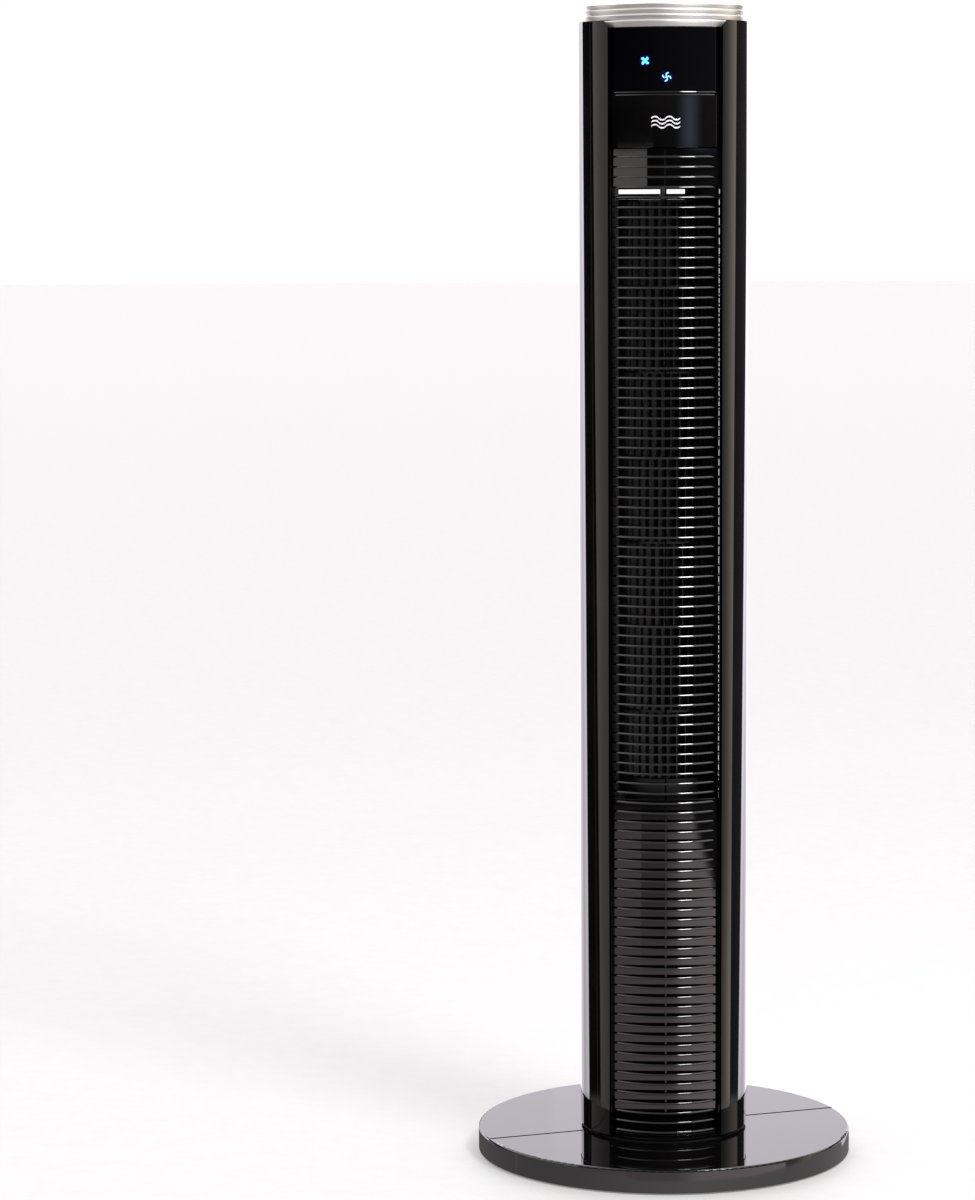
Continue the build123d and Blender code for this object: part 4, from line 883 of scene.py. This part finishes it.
def flats(m):
    """Flats at both sides, the left one with a fine line of light past its far edge."""
    left = m.of("MULTIPLY", m.side, -1.0)
    left_edge = m.of("MULTIPLY_ADD", m.up, 0.86, 111.0)
    right_edge = m.of("MULTIPLY_ADD", m.up, 0.75, 114.0)
    left_flat = flat(m, left, left_edge, (80.0, 114.0, 0.7, 1.0))
    right_flat = m.product(flat(m, m.side, right_edge, (84.0, 114.0, 0.32, 1.6)),
                           m.ramp(m.up, -12.5, -9.0, 1.6, 1.0))
    line = m.product(m.band(m.of("SUBTRACT", left, left_edge), 6.3, 7.5, 0.3), 0.22)
    return [((1.0, 0.93, 0.9), left_flat), ((1.0, 0.95, 0.93), line), ((1.0, 0.9, 0.76), right_flat)]


def lit_floor(m):
    """Lit floor in front of the fan, brighter to the right, with a duller patch left of the middle."""
    slant = m.of("MULTIPLY", m.of("MAXIMUM", m.of("SUBTRACT", m.side, 28.0), 0.0), -0.045)
    lit = m.under(m.up, m.of("ADD", slant, -9.6), 0.25)
    level = m.of("ADD", m.ramp(m.side, -80.0, -25.0, 0.8, 1.1), m.ramp(m.side, 4.0, 24.0, 0.0, 1.1))
    level = m.of("ADD", level, m.ramp(m.side, 30.0, 60.0, 0.0, 0.05))
    patch = m.product(m.band(m.side, -22.0, 4.0, 0.7), m.edge(m.up, -11.4, 0.8))
    level = m.product(level, m.of("MULTIPLY_ADD", patch, -0.5, 1.0))
    front = m.band(m.side, -FLAT_START, FLAT_START, 1.0)
    return [((1.0, 0.87, 0.89), m.product(lit, level, m.above, front))]


def cards(m):
    """Card level with the eye on the left, and the cool edge of the soft box on the right."""
    card = m.product(m.band(m.side, -70.0, -16.0, 0.4), m.band(m.up, -1.4, 0.41, 0.02), 1.5)
    cool = m.product(m.band(m.side, 27.0, 45.0, 13.0), m.band(m.up, 0.41, 1.22, 0.03), 0.85)
    return [((1.0, 0.96, 0.92), card), ((0.8, 0.95, 1.3), cool)]


def ceiling(m):
    """Bright ceiling, dimmest a little to the left of the front."""
    level = m.of("ADD", m.ramp(m.side, -80.0, -20.0, 1.9, 0.75), m.ramp(m.side, 5.0, 60.0, 0.0, 1.0))
    return [((1.0, 0.98, 0.97), m.product(m.band(m.up, 22.0, 74.0, 4.0), level))]


def near_floor(m):
    """Floor close to the base, brightest in front of the fan."""
    half_cosine = m.of("COSINE", m.of("MULTIPLY", m.away, math.pi / 360))
    near = m.of("MULTIPLY_ADD", m.of("POWER", half_cosine, 1.4), 1.2, 0.05)
    return [((1.0, 0.95, 0.97), m.product(m.below, near, m.ramp(m.side, -60.0, 60.0, 0.95, 1.35)))]


def room_light(m):
    """Faint light from everywhere."""
    return [((1.0, 0.95, 1.0), m.ramp(m.side, -60.0, 60.0, 0.02, 0.08))]


def background(tree, colour, strength):
    shade = tree.nodes.new("ShaderNodeBackground")
    shade.inputs["Color"].default_value = (*colour, 1)
    if isinstance(strength, float):
        shade.inputs["Strength"].default_value = strength
    else:
        tree.links.new(strength, shade.inputs["Strength"])
    return shade.outputs["Background"]


def studio_world():
    """White room to the eye; to the fan, the cards and flats of a dark studio."""
    world = bpy.data.worlds.new("studio")
    bpy.context.scene.world = world
    world.use_nodes = True
    tree = world.node_tree
    tree.nodes.clear()
    m = Maths(tree)
    total = None
    for part in (sweep, flats, lit_floor, cards, ceiling, near_floor, room_light):
        for tint, strength in part(m):
            glow = background(tree, tint, strength)
            if total is None:
                total = glow
                continue
            both = tree.nodes.new("ShaderNodeAddShader")
            tree.links.new(total, both.inputs[0])
            tree.links.new(glow, both.inputs[1])
            total = both.outputs["Shader"]
    path = tree.nodes.new("ShaderNodeLightPath")
    mix = tree.nodes.new("ShaderNodeMixShader")
    tree.links.new(path.outputs["Is Camera Ray"], mix.inputs["Fac"])
    tree.links.new(total, mix.inputs[1])
    tree.links.new(background(tree, (1, 1, 1), SEEN_WHITE), mix.inputs[2])
    out = tree.nodes.new("ShaderNodeOutputWorld")
    tree.links.new(mix.outputs["Shader"], out.inputs["Surface"])


def floor():
    """Pale floor with a soft glow of its own; the fan's gloss mirrors the studio, not the floor."""
    dark, light = (0.311, 0.311, 0.311), (0.319, 0.319, 0.319)
    material = surface("studio_floor", dark, light, (0.6, 0.75), 3 * MM, 0.01)
    shader = material.node_tree.nodes["Principled BSDF"]
    shader.inputs["Emission Color"].default_value = (1, 1, 1, 1)
    shader.inputs["Emission Strength"].default_value = FLOOR_GLOW
    bm = bmesh.new()
    corners = rectangle(-FLOOR_HALF, FLOOR_HALF, -FLOOR_HALF, FLOOR_HALF)
    bm.faces.new([bm.verts.new((x, y, 0)) for x, y in corners])
    mesh = bpy.data.meshes.new("floor")
    bm.to_mesh(mesh)
    bm.free()
    mesh.materials.append(material)
    obj = bpy.data.objects.new("floor", mesh)
    bpy.context.scene.collection.objects.link(obj)
    obj.visible_glossy = False


def studio():
    camera()
    studio_world()
    floor()
    area_light("strip_box", 40, 46, 2.6, 0.8, 0.6, 42.0)
    area_light("key_box", 62, 42, 3.5, 2.6, 2.0, 1.0)
    scene = bpy.context.scene
    scene.view_settings.view_transform = "Standard"
    scene.view_settings.look = "None"


# ------------------------------------------------------------------ assembly

side_cover(-1, "left_pillar", "left_side_cover")
side_cover(1, "right_pillar", "right_side_cover")
rear_cover()
front_grille()
intake_grille()
display_pane()
badge_band()
window_sill()
scroll_lip()
blank_plate("lower_plate", "lower_blank_plate", PLATE_LOW, PLATE_HIGH)
blank_plate("upper_plate", "upper_blank_plate", TOP_PLATE_LOW, TOP_PLATE_HIGH)
lit_icons()
silver_cap()
key_marks()
refined("base_front", "base_front_half", "base", GLOSS, 0.8 * MM)
refined("base_rear", "base_rear_half", "base", GLOSS, 0.8 * MM, raised=0.45 * MM)
refined("column_foot", "turntable", "column", GLOSS, 0.4 * MM)
dress_nodes()
studio()
